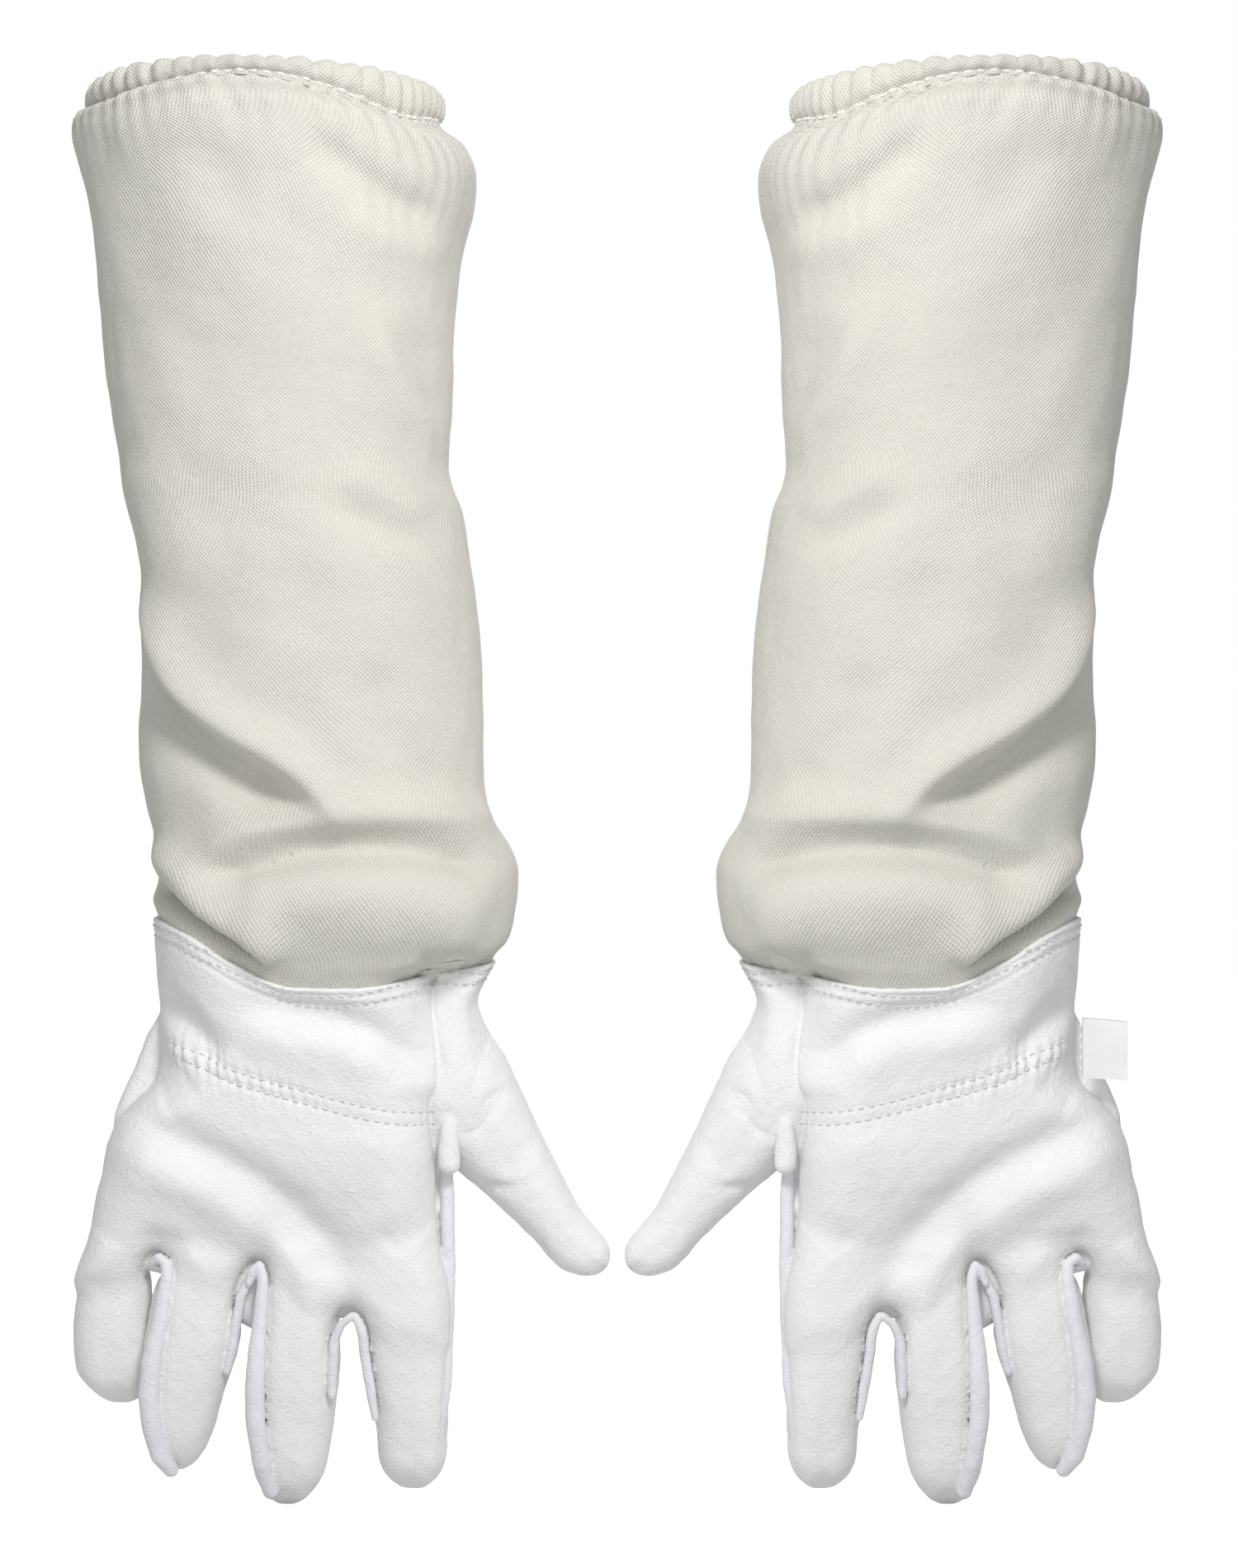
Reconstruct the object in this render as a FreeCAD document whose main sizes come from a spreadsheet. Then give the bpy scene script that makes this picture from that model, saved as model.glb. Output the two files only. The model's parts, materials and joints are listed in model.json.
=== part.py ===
import FreeCAD, Part
import math
import os
import Sketcher

# A pair of long beekeeping gloves: leather hands sewn to canvas gauntlets that end in an elastic hem.
#
# Row frame, millimetres: +Z runs up the arm, the fingers hang down, the backs of the hands face -Y and
# the palms face +Y. The origin lies midway between the two gloves, level with the lowest fingertip.
# The right glove is modelled on the -X side and the left glove is its mirror image in the YZ plane.
#
# Every sub-part takes its sizes from the spreadsheet "sizes". The gauntlet, cuff and hand are slices
# of one lofted skin, inset for each layer of cloth or leather. Finger and thumb panels are lofts of
# wall strips along a curved centre line. Each hinge is a V-shaped clearance cut on both of its sides.

OUT_FOLDER = "parts"
FULL_TURN = 360.0
HALF_TURN = 180.0

# Driving dimensions: alias, value in mm or degrees.
SIZES = [
    ("glove_axis", 115.0),        # pair's mid plane to each glove's own axis
    ("leather", 1.2),             # leather thickness
    ("canvas", 1.0),              # canvas thickness
    ("lap_clearance", 0.2),       # between leather and the canvas lapped under it
    ("lap_length", 9.0),          # how far the canvas runs down inside the leather
    ("sewn_gap", 0.8),            # between the hand's skin and what is sewn onto it
    ("reach", 160.0),             # half size of the blocks that trim the skins
    ("edge_gap", 0.075),          # half gap between the back's and the palm's leather at their seam
    ("root_gap", 0.05),           # between the hand's wall and the finger roots below it
    ("hinge_slot", 0.5),          # half gap between two leathers at a hinge axis
    ("cuff_seam_z", 201.0),       # cuff seam height on the cuff station's axis
    ("cuff_seam_tilt", 8.0),      # seam is lower on the thumb side
    ("wrist_swing", 21.5),        # half the V cut at the wrist, each side
    ("knuckle_plane_z", 80.0),    # crotch plane height at the palm's centre
    ("knuckle_plane_tilt", 10.8),
    ("casing_height", 11.0),      # folded hem at the arm opening
    ("casing_fold", 1.0),         # thickness of the fold over the elastic
    ("casing_pocket", 2.0),       # pocket width between the hem's two layers
    ("elastic_thick", 1.2),
    ("elastic_height", 7.0),
    ("elastic_headroom", 0.4),    # over the elastic, inside the casing
    ("thread", 0.6),              # sewing thread, standing proud of the surface
    ("row_gap", 5.0),             # between the two rows of a double seam
    ("hem_row_drop", 2.0),        # hem stitch row above the casing's lower edge
    ("cuff_row_drop", 3.0),       # cuff's upper stitch row below the leather's edge
    ("sleeve_seam_end", 12.0),    # closing seam's rows stop this far from the cuff and from the hem
    ("wrist_row_z", 152.0),       # upper row of wrist stitching at the hand's centre
    ("wrist_row_tilt", 11.0),
    ("wrist_elastic_height", 9.0),
    ("knuckle_drop", 14.0),       # finger hinge below the crotch plane
    ("flex_cut", 33.5),           # half the V cut on the palm side of a finger hinge
    ("extend_cut", 6.0),          # half the V cut on the back of a finger hinge
    ("panel_gap", 0.8),           # degrees left open between two panels' edges
    ("thumb_cut", 26.0),          # half the V cut on the palm side of the thumb hinge
    ("thumb_back_cut", 9.0),
    ("thumb_mouth_drop", 32.0),   # hole for the thumb reaches this far down from the thumb's root
    ("label_x", 45.8),            # from the glove's axis outwards
    ("label_y", 18.0),            # towards the back of the hand
    ("label_z", 155.0),
    ("label_long", 15.5),
    ("label_tall", 20.0),
    ("label_thick", 0.4),
    ("label_gap", 0.3),           # between the label's sewn edge and its stitches
]

# Skin stations from the arm opening down: name, height, offset from the glove's axis, half width and
# half depth.
STATIONS = [
    ("rim_end", 494.0, -8.4, 62.0, 62.0),
    ("rim", 487.0, -8.4, 62.0, 62.0),
    ("shoulder", 469.0, -5.0, 69.5, 64.0),
    ("upper", 430.0, -3.7, 63.0, 58.0),
    ("elbow", 375.0, -2.3, 57.6, 54.0),
    ("midarm", 328.0, 6.0, 58.0, 54.0),
    ("forearm", 270.0, 8.0, 60.0, 54.0),
    ("puff", 222.0, 15.5, 63.5, 52.0),
    ("cuff", 198.0, 12.5, 59.5, 44.0),
    ("wrist", 170.0, 9.0, 54.5, 36.0),
    ("thenar", 142.0, 0.0, 60.5, 33.0),
    ("palm", 115.0, -4.5, 62.5, 28.0),
    ("knuckle", 84.0, -7.0, 65.0, 17.0),
    ("web", 56.0, -7.0, 66.0, 15.0),
]

# Fingers: root offset from the glove's axis, root height, root depth, lean (positive leans the tip
# outwards), length down to the tip, half width, half depth, curl of the tip towards the palm.
FINGER_KEYS = ("x", "z", "y", "lean", "long", "wide", "deep", "curl")
FINGERS = {
    "index": (41.3, 71.0, 0.0, -2.0, 66.0, 16.4, 13.5, 26.0),
    "middle": (7.2, 77.0, 0.0, 8.0, 77.5, 15.6, 14.0, 22.0),
    "ring": (-27.0, 85.0, 1.0, 11.5, 74.5, 15.8, 13.5, 22.0),
    "little": (-61.5, 90.5, 5.0, -1.0, 55.0, 12.2, 12.5, 26.0),
    "thumb": (58.0, 151.0, 9.0, -38.0, 81.0, 21.5, 17.5, 10.0),
}
THUMB_HINGE_DROP = 20.5  # thumb hinge below its root, along the thumb

# Fingers' outline: share of the length, of the half width and of the half depth.
OUTLINE = [
    (-0.2, 1.0, 1.0),
    (0.0, 1.0, 1.0),
    (0.35, 0.98, 0.98),
    (0.7, 0.86, 0.9),
    (0.92, 0.6, 0.66),
    (1.0, 0.27, 0.32),
]
THUMB_OUTLINE = [
    (-0.1, 1.3, 1.1),
    (0.0, 1.2, 1.08),
    (0.3, 0.9, 0.95),
    (0.65, 0.66, 0.76),
    (0.92, 0.5, 0.56),
    (1.0, 0.24, 0.3),
]
ARC_STEPS = 8        # points along each arc of a finger's cross section
TIP_HOLE = 0.3       # mm, radius left where the inner wall closes at a fingertip
FOURCHETTE_ARC = 42.0  # degrees each side of a finger's flank that its side strip covers

# Sides of each finger that carry a fourchette; the other flank is closed by back and palm panels.
OUTWARD, INWARD = -1, 1
FOURCHETTE_SIDES = {
    "index": (OUTWARD,),
    "middle": (OUTWARD, INWARD),
    "ring": (OUTWARD, INWARD),
    "little": (INWARD,),
    "thumb": (),
}

# Tilted planes as (height, tilt), and hinges as (distance below the root, palm slope, back slope).
CUFF_SEAM = ("sizes.cuff_seam_z", "sizes.cuff_seam_tilt")
WRIST_ROW = ("sizes.wrist_row_z", "sizes.wrist_row_tilt")
KNUCKLE_PLANE = ("sizes.knuckle_plane_z", "sizes.knuckle_plane_tilt")
FINGER_HINGE = ("sizes.knuckle_drop", "sizes.flex_cut", "sizes.extend_cut")
THUMB_HINGE = ("sizes.thumb_hinge_drop", "sizes.thumb_cut", "sizes.thumb_back_cut")

doc = FreeCAD.newDocument("beekeeping_gloves")
sheet = doc.addObject("Spreadsheet::Sheet", "sizes")
NODES = {}  # node name without its side: document object of the right glove


# ---------------------------------------------------------------- sheet and placement helpers

def fill_sheet():
    """Writes every driving dimension into the sheet, one aliased cell a row."""
    rows = list(SIZES)
    for name, *values in STATIONS:
        rows += [(f"{name}_{key}", v) for key, v in zip(("z", "x", "wide", "deep"), values)]
    for name, values in FINGERS.items():
        rows += [(f"{name}_{key}", v) for key, v in zip(FINGER_KEYS, values)]
    rows.append(("thumb_hinge_drop", THUMB_HINGE_DROP))
    for number, (alias, value) in enumerate(rows, start=1):
        sheet.set(f"A{number}", alias)
        sheet.set(f"B{number}", str(value))
        sheet.setAlias(f"B{number}", alias)
    doc.recompute()


def size(alias):
    """A driving dimension's value, read back from the sheet."""
    return float(sheet.get(alias))


def bind(obj, **expressions):
    """Binds properties of obj to expressions over the sheet. "__" in a keyword stands for "."."""
    for key, text in expressions.items():
        obj.setExpression(key.replace("__", "."), text)
    return obj


def place(obj, x, y, z, lean="0"):
    """Binds obj's Placement to a point and a turn about +Y, in degrees."""
    obj.Placement = FreeCAD.Placement(FreeCAD.Vector(), FreeCAD.Rotation(FreeCAD.Vector(0, 1, 0), 10))
    bind(obj, Placement__Base__x=x, Placement__Base__y=y, Placement__Base__z=z)
    bind(obj, Placement__Rotation__Angle=f"({lean}) * 1 deg")
    return obj


def block(name, origin, lean, low, high):
    """A box between two corners given in a frame at origin that is turned by lean about +Y."""
    x, y, z = origin
    box = doc.addObject("Part::Box", name)
    for key, a, b in zip(("Length", "Width", "Height"), low, high):
        box.setExpression(key, f"({b}) - ({a})")
    turn = f"({lean}) * 1 deg"
    place(
        box,
        f"{x} + ({low[0]}) * cos({turn}) + ({low[2]}) * sin({turn})",
        f"{y} + ({low[1]})",
        f"{z} - ({low[0]}) * sin({turn}) + ({low[2]}) * cos({turn})",
        lean,
    )
    return box


def boolean(kind, name, base, tool):
    """A Part::Cut or Part::Common of two document objects."""
    made = doc.addObject(f"Part::{kind}", name)
    made.Base, made.Tool = base, tool
    return made


def fuse(name, *objects):
    made = doc.addObject("Part::MultiFuse", name)
    made.Shapes = list(objects)
    return made


def node(name, obj):
    """Makes obj the right glove's sub-part of that name."""
    obj.Label = f"right_{name}"
    NODES[name] = obj
    return obj


def hinge_side(name, origin, lean, palm_cut, back_cut, up):
    """The block beyond one side of a hinge: all that is above (or below) a V whose point is the axis.

    palm_cut and back_cut are the V's slopes in degrees towards the palm and towards the back.
    """
    halves = []
    for half, slope, palm in ((f"{name}_palm", palm_cut, True), (f"{name}_back", back_cut, False)):
        wedge = doc.addObject("Part::Wedge", half)
        rise = f"sizes.reach * tan(({slope}) * 1 deg) + sizes.hinge_slot"
        near, far = ("", "2") if palm else ("2", "")
        bind(wedge, Xmin="-sizes.reach", Xmax="sizes.reach", X2min="-sizes.reach", X2max="sizes.reach")
        bind(wedge, Ymin="0" if palm else "-sizes.reach", Ymax="sizes.reach" if palm else "0")
        if up:
            limits = {f"Z{near}min": "-sizes.hinge_slot", f"Z{far}min": f"-({rise})"}
            limits.update({f"Z{near}max": "2 * sizes.reach", f"Z{far}max": "2 * sizes.reach"})
        else:
            limits = {f"Z{near}max": "sizes.hinge_slot", f"Z{far}max": rise}
            limits.update({f"Z{near}min": "-2 * sizes.reach", f"Z{far}min": "-2 * sizes.reach"})
        bind(wedge, **limits)
        place(wedge, *origin, lean)
        halves.append(wedge)
    return fuse(name, *halves)


# ---------------------------------------------------------------- the lofted skin

def station_x(name):
    return f"-sizes.glove_axis + sizes.{name}_x"


ALL_STATIONS = tuple(row[0] for row in STATIONS)
THUMB_STATIONS = ("cuff", "wrist", "thenar", "palm")


def skin(name, inset, stations=ALL_STATIONS, ruled=False):
    """The glove's body lofted through its stations, inset by an expression."""
    rings = []
    for station in stations:
        ring = doc.addObject("Part::Ellipse", f"{name}_{station}")
        bind(ring, MajorRadius=f"sizes.{station}_wide - ({inset})")
        bind(ring, MinorRadius=f"sizes.{station}_deep - ({inset})")
        bind(ring, Placement__Base__x=station_x(station), Placement__Base__z=f"sizes.{station}_z")
        rings.append(ring)
    loft = doc.addObject("Part::Loft", name)
    loft.Sections, loft.Solid, loft.Ruled = rings, True, ruled
    return loft


def layer(name, outer_inset, inner_inset):
    """The wall between two insets of the skin."""
    return boolean("Cut", name, skin(f"{name}_outer", outer_inset), skin(f"{name}_inner", inner_inset))


def slab(name, station, z, tilt, low, high):
    """A flat slab right through the glove, between two heights above a tilted plane."""
    low_corner = ("-sizes.reach", "-sizes.reach", low)
    high_corner = ("sizes.reach", "sizes.reach", high)
    return block(name, (station_x(station), "0", z), tilt, low_corner, high_corner)


def make_gauntlet():
    """Canvas sleeve, its folded hem with the elastic inside, and the sewing of both."""
    canvas_inset = "sizes.leather + sizes.lap_clearance"
    cloth = layer("canvas_layer", canvas_inset, f"{canvas_inset} + sizes.canvas")
    lapped = slab("sleeve_range", "cuff", *CUFF_SEAM, "-sizes.lap_length", "2 * sizes.reach")
    below_rim = slab("below_rim", "rim", "sizes.rim_z", "0", "-3 * sizes.reach", "0")
    sleeve = boolean("Common", "sleeve", boolean("Common", "sleeve_above_cuff", cloth, lapped), below_rim)
    node("gauntlet_sleeve", sleeve)

    hem_origin = (station_x("rim"), "0", "sizes.rim_z")
    outer = f"sizes.rim_wide - ({canvas_inset})"
    node("hem_casing", make_hem_casing(hem_origin, outer))
    pocket_outer = f"{outer} - sizes.canvas"
    band_outer = f"{pocket_outer} - (sizes.casing_pocket - sizes.elastic_thick) / 2"
    under_fold = "sizes.casing_height - sizes.casing_fold"
    band_foot = f"{hem_origin[2]} + {under_fold} - sizes.elastic_height - sizes.elastic_headroom"
    band = make_ring(
        "hem_elastic_band", band_outer, f"{band_outer} - sizes.elastic_thick", "sizes.elastic_height",
        (hem_origin[0], "0", band_foot),
    )
    node("hem_elastic", band)
    row = make_ring(
        "hem_thread", f"{outer} + sizes.thread", outer, "sizes.thread",
        (hem_origin[0], "0", f"{hem_origin[2]} + sizes.hem_row_drop"),
    )
    node("hem_stitching", row)
    node("sleeve_seam_stitching", make_sleeve_seam(canvas_inset))


def make_ring(name, outer, inner, height, origin):
    """A flat-sided ring standing on origin."""
    parts = []
    for suffix, radius in (("rim", outer), ("bore", inner)):
        cylinder = doc.addObject("Part::Cylinder", f"{name}_{suffix}")
        bind(cylinder, Radius=radius, Height=height)
        parts.append(place(cylinder, *origin))
    return boolean("Cut", name, *parts)


def make_hem_casing(origin, outer):
    """The hem's folded cloth: a hairpin turned over at the top, revolved round the arm opening."""
    body = doc.addObject("PartDesign::Body", "hem_casing_body")
    profile = body.newObject("Sketcher::SketchObject", "hem_casing_profile")
    planes = {f.Role: f for f in body.Origin.OriginFeatures}
    profile.AttachmentSupport = [(planes["XZ_Plane"], "")]
    profile.MapMode = "FlatFace"
    # Corners as (radius, height), from the outer foot round the fold to the inner foot and back.
    outside = f"({outer})"
    cloth = "sizes.canvas"
    top = "sizes.casing_height"
    corners = [
        (outside, "0"),
        (outside, top),
        (f"{outside} - 2 * {cloth} - sizes.casing_pocket", top),
        (f"{outside} - 2 * {cloth} - sizes.casing_pocket", "0"),
        (f"{outside} - {cloth} - sizes.casing_pocket", "0"),
        (f"{outside} - {cloth} - sizes.casing_pocket", f"{top} - sizes.casing_fold"),
        (f"{outside} - {cloth}", f"{top} - sizes.casing_fold"),
        (f"{outside} - {cloth}", "0"),
    ]
    # The corners start on a slant, so that no two coincide before their constraints place them.
    count = len(corners)
    starts = [FreeCAD.Vector(count - i, i + 1, 0) for i in range(count)]
    for i in range(count):
        profile.addGeometry(Part.LineSegment(starts[i], starts[(i + 1) % count]), False)
    for i in range(count):
        profile.addConstraint(Sketcher.Constraint("Coincident", i, 2, (i + 1) % count, 1))
    for i, (radius, height) in enumerate(corners):
        across = profile.addConstraint(Sketcher.Constraint("DistanceX", -1, 1, i, 1, float(count - i)))
        profile.setExpression(f"Constraints[{across}]", radius)
        if height == "0":
            profile.addConstraint(Sketcher.Constraint("PointOnObject", i, 1, -1))
        else:
            up = profile.addConstraint(Sketcher.Constraint("DistanceY", -1, 1, i, 1, 1.0 + i))
            profile.setExpression(f"Constraints[{up}]", height)
    turned = body.newObject("PartDesign::Revolution", "hem_casing_turn")
    turned.Profile = profile
    turned.ReferenceAxis = (profile, ["V_Axis"])
    turned.Angle = FULL_TURN
    body.Tip = turned
    bind(body, Placement__Base__x=origin[0], Placement__Base__z=origin[2])
    return body


def make_sleeve_seam(canvas_inset):
    """Two thread lines down the palm side of the sleeve, either side of its closing seam."""
    proud = layer("sleeve_thread_layer", f"{canvas_inset} - sizes.thread", canvas_inset)
    rows = []
    foot = (station_x("forearm"), "0", "sizes.cuff_seam_z + sizes.sleeve_seam_end")
    length = "sizes.rim_z - sizes.cuff_seam_z - 2 * sizes.sleeve_seam_end"
    for name, shift in (("near", "-sizes.row_gap / 2"), ("far", "sizes.row_gap / 2")):
        low = (f"{shift} - sizes.thread / 2", "0", "0")
        high = (f"{shift} + sizes.thread / 2", "sizes.reach", length)
        rows.append(block(f"sleeve_seam_{name}", foot, "0", low, high))
    return boolean("Common", "sleeve_seam_rows", proud, fuse("sleeve_seam_lines", *rows))


# ---------------------------------------------------------------- leather hand

def make_hand():
    """Leather cuff and hand, split into back and palm panels, with the wrist elastic and the sewing."""
    hide = layer("leather_layer", "0", "sizes.leather")
    wrist = (station_x("wrist"), "0", "sizes.wrist_z")
    above = hinge_side("above_wrist", wrist, "0", "sizes.wrist_swing", "sizes.wrist_swing", True)
    below = hinge_side("below_wrist", wrist, "0", "sizes.wrist_swing", "sizes.wrist_swing", False)
    cuff_top = slab("cuff_range", "cuff", *CUFF_SEAM, "-2 * sizes.reach", "0")
    knuckles = slab("hand_range", "knuckle", *KNUCKLE_PLANE, "0", "2 * sizes.reach")
    cuff = boolean("Common", "cuff_leather", boolean("Cut", "cuff_wall", hide, below), cuff_top)
    hand = boolean("Common", "hand_leather", boolean("Cut", "hand_wall", hide, above), knuckles)
    halves = {
        "back": slab_half("back_half", "-sizes.reach", "-sizes.edge_gap"),
        "palm": slab_half("palm_half", "sizes.edge_gap", "sizes.reach"),
    }
    node("cuff_back", boolean("Common", "cuff_back_leather", cuff, halves["back"]))
    node("cuff_palm", boolean("Common", "cuff_palm_leather", cuff, halves["palm"]))
    proud = layer("thread_layer", "-sizes.thread", "0")
    cuff_row = f"{CUFF_SEAM[0]} - sizes.cuff_row_drop"
    make_double_row("cuff_stitching", proud, "cuff", cuff_row, CUFF_SEAM[1])
    make_double_row("wrist_stitching", proud, "wrist", *WRIST_ROW, halves["back"])
    under = layer("wrist_elastic_layer", "sizes.leather + sizes.lap_clearance",
                  "sizes.leather + sizes.lap_clearance + sizes.elastic_thick")
    band = slab("wrist_elastic_range", "wrist", *WRIST_ROW, "-sizes.wrist_elastic_height", "sizes.thread")
    ribbon = boolean("Common", "wrist_ribbon", under, band)
    node("wrist_elastic", boolean("Common", "wrist_elastic_band", ribbon, halves["back"]))
    return hand, halves


def slab_half(name, low_y, high_y):
    """Everything on one side of the glove's middle plane."""
    low = ("-sizes.reach", low_y, "-sizes.reach")
    high = ("sizes.reach", high_y, "sizes.reach")
    return block(name, (station_x("wrist"), "0", "sizes.wrist_z"), "0", low, high)


def make_double_row(name, proud, station, z, tilt, half=None):
    """Two parallel rows of thread standing proud of the leather; half keeps one side of the glove."""
    rows = [
        slab(f"{name}_upper", station, z, tilt, "-sizes.thread", "0"),
        slab(f"{name}_lower", station, z, tilt, "-sizes.thread - sizes.row_gap", "-sizes.row_gap"),
    ]
    threads = boolean("Common", f"{name}_threads", proud, fuse(f"{name}_rows", *rows))
    node(name, boolean("Common", f"{name}_half", threads, half) if half else threads)


# ---------------------------------------------------------------- fingers and thumb

def finger_frame(name, drop):
    """Expressions for the point a distance down a finger's centre line, before its curl."""
    turn = f"sizes.{name}_lean * 1 deg"
    x = f"-sizes.glove_axis + sizes.{name}_x - ({drop}) * sin({turn})"
    z = f"sizes.{name}_z - ({drop}) * cos({turn})"
    return x, f"sizes.{name}_y", z


def wall_section(name, share, wide_share, deep_share, arc, closed):
    """One cross section of a finger's wall strip: outer arc, inner arc and the two edges between them."""
    lean = math.radians(size(f"{name}_lean"))
    length = size(f"{name}_long")
    along = share * length
    centre = FreeCAD.Vector(
        -size("glove_axis") + size(f"{name}_x") - along * math.sin(lean),
        size(f"{name}_y") + size(f"{name}_curl") * max(share, 0.0) ** 2,
        size(f"{name}_z") - along * math.cos(lean),
    )
    across = FreeCAD.Vector(math.cos(lean), 0, -math.sin(lean))
    depth = FreeCAD.Vector(0, 1, 0)
    outer = (wide_share * size(f"{name}_wide"), deep_share * size(f"{name}_deep"))
    inner = (TIP_HOLE, TIP_HOLE) if closed else tuple(r - size("leather") for r in outer)

    def point(radii, degrees):
        angle = math.radians(degrees)
        return centre + across * (radii[0] * math.cos(angle)) + depth * (radii[1] * math.sin(angle))

    def curve(radii, start, end):
        points = [point(radii, start + (end - start) * i / ARC_STEPS) for i in range(ARC_STEPS + 1)]
        spline = Part.BSplineCurve()
        spline.interpolate(points)
        return spline.toShape()

    start, end = arc
    edges = [
        curve(outer, start, end),
        Part.makeLine(point(outer, end), point(inner, end)),
        curve(inner, end, start),
        Part.makeLine(point(inner, start), point(outer, start)),
    ]
    return Part.Wire(edges)


def wall_strip(name, label, arc):
    """A leather strip along a finger, covering one arc of its cross section from root to tip."""
    outline = THUMB_OUTLINE if name == "thumb" else OUTLINE
    gap = size("panel_gap") / 2
    span = (arc[0] + gap, arc[1] - gap)
    sections = [wall_section(name, *row, span, row is outline[-1]) for row in outline]
    strip = doc.addObject("Part::Feature", f"{name}_{label}_strip")
    strip.Shape = Part.makeLoft(sections, True, False)
    return strip


def finger_arcs(name):
    """Where each panel lies round a finger: 0 degrees is the thumb side and 90 the palm."""
    sides = FOURCHETTE_SIDES[name]
    inward = FOURCHETTE_ARC if INWARD in sides else 0.0
    outward = FOURCHETTE_ARC if OUTWARD in sides else 0.0
    arcs = {"palm": (inward, HALF_TURN - outward), "back": (HALF_TURN + outward, FULL_TURN - inward)}
    if INWARD in sides:
        arcs["inward"] = (-FOURCHETTE_ARC, FOURCHETTE_ARC)
    if OUTWARD in sides:
        arcs["outward"] = (HALF_TURN - FOURCHETTE_ARC, HALF_TURN + FOURCHETTE_ARC)
    return arcs


def make_finger(name):
    """A finger's panels beyond its hinge as nodes; returns its fixed root strips by panel."""
    drop, *cuts = THUMB_HINGE if name == "thumb" else FINGER_HINGE
    origin = finger_frame(name, drop)
    lean = f"sizes.{name}_lean"
    above = hinge_side(f"{name}_above", origin, lean, *cuts, True)
    below = hinge_side(f"{name}_below", origin, lean, *cuts, False)
    moving, roots = {}, {}
    for label, arc in finger_arcs(name).items():
        strip = wall_strip(name, label, arc)
        moving[label] = boolean("Cut", f"{name}_{label}_moving", strip, above)
        roots[label] = boolean("Cut", f"{name}_{label}_root", strip, below)
    node(f"{name}_back", moving["back"])
    node(f"{name}_palm", moving["palm"])
    sides = [moving[s] for s in ("inward", "outward") if s in moving]
    if len(sides) == 2:
        pair = doc.addObject("Part::Compound", f"{name}_fourchette_pair")
        pair.Links = sides
        node(f"{name}_fourchettes", pair)
    elif sides:
        node(f"{name}_fourchette", sides[0])
    return roots


def make_hand_panels(hand, halves, keep_out):
    """Back and palm panels with the finger roots they carry, the crotch strips and the thumb's base."""
    below_knuckles = slab("root_range", "knuckle", *KNUCKLE_PLANE, "-2 * sizes.reach", "-sizes.root_gap")
    roots = {"back": [], "palm": [], "side": []}
    for name in ("index", "middle", "ring", "little"):
        for label, root in make_finger(name).items():
            key = label if label in ("back", "palm") else "side"
            roots[key].append(boolean("Common", f"{name}_{label}_trimmed", root, below_knuckles))
    thumb = make_finger("thumb")
    thumb_base = doc.addObject("Part::Compound", "thumb_base_leather")
    thumb_base.Links = [boolean("Cut", f"thumb_{k}_base", root, keep_out) for k, root in thumb.items()]
    node("thumb_base", thumb_base)
    thumb_mouth = make_thumb_mouth()
    for half in ("back", "palm"):
        wall = boolean("Common", f"{half}_hand_wall", hand, halves[half])
        opened = boolean("Cut", f"{half}_hand_opened", wall, thumb_mouth)
        panel = doc.addObject("Part::Compound", f"{half}_panel_leather")
        panel.Links = [opened, *roots[half]]
        node(f"{half}_panel", panel)
    webs = doc.addObject("Part::Compound", "crotch_strips")
    webs.Links = roots["side"]
    node("fourchette_crotches", webs)


def make_thumb_mouth():
    """A straight plug through the hand's wall: the hole that the thumb is sewn round."""
    ring = doc.addObject("Part::Ellipse", "thumb_mouth_ring")
    bind(ring, MajorRadius="sizes.thumb_wide + sizes.leather")
    bind(ring, MinorRadius="sizes.thumb_deep - sizes.leather")
    place(ring, *finger_frame("thumb", "sizes.thumb_mouth_drop"), "sizes.thumb_lean")
    plug = doc.addObject("Part::Extrusion", "thumb_mouth")
    plug.Base, plug.DirMode, plug.Solid = ring, "Normal", True
    return bind(plug, LengthFwd="sizes.thumb_mouth_drop + sizes.thumb_wide")


# ---------------------------------------------------------------- label, mirror image and output

def make_label(keep_out):
    """The size label: a folded tape sewn by one edge beside the wrist, free to flap."""
    body = doc.addObject("PartDesign::Body", "label_body")
    tape = body.newObject("PartDesign::AdditiveBox", "label_tape")
    bind(tape, Length="sizes.label_long", Width="sizes.label_thick", Height="sizes.label_tall")
    bind(
        body,
        Placement__Base__x="-sizes.glove_axis - sizes.label_x - sizes.label_long - sizes.label_gap",
        Placement__Base__y="-sizes.label_y - sizes.label_thick / 2",
        Placement__Base__z="sizes.label_z",
    )
    body.Tip = tape
    node("size_label", body)
    stitches = block(
        "label_thread",
        ("-sizes.glove_axis - sizes.label_x", "-sizes.label_y - sizes.thread / 2", "sizes.label_z"),
        "0", ("0", "0", "sizes.thread"), ("sizes.label_long / 2", "sizes.thread", "sizes.label_tall / 2"),
    )
    node("label_stitching", boolean("Cut", "label_thread_outside", stitches, keep_out))


LEFT_ONLY = ("size_label", "label_stitching")


def mirror_gloves():
    """Every left sub-part is its right twin mirrored in the YZ plane. Returns node name to object."""
    made = {}
    for name, source in NODES.items():
        left = doc.addObject("Part::Mirroring", f"left_{name}_mirror")
        left.Source = source
        left.Normal = FreeCAD.Vector(1, 0, 0)
        left.Base = FreeCAD.Vector(0, 0, 0)
        left.Label = f"left_{name}"
        made[left.Label] = left
        if name in LEFT_ONLY:
            source.Label = f"{name}_pattern"
        else:
            made[source.Label] = source
    return made


def check(nodes):
    """Stops the build if an object failed or a sub-part isn't made of sound solids."""
    for obj in doc.Objects:
        if "Invalid" in obj.State or "Error" in obj.State:
            raise RuntimeError(f"{obj.Label} failed: {obj.State}")
    for name, obj in nodes.items():
        shape = obj.Shape
        if shape.isNull() or not shape.isValid() or not shape.Solids:
            raise RuntimeError(f"{name} has no sound solid")


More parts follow.
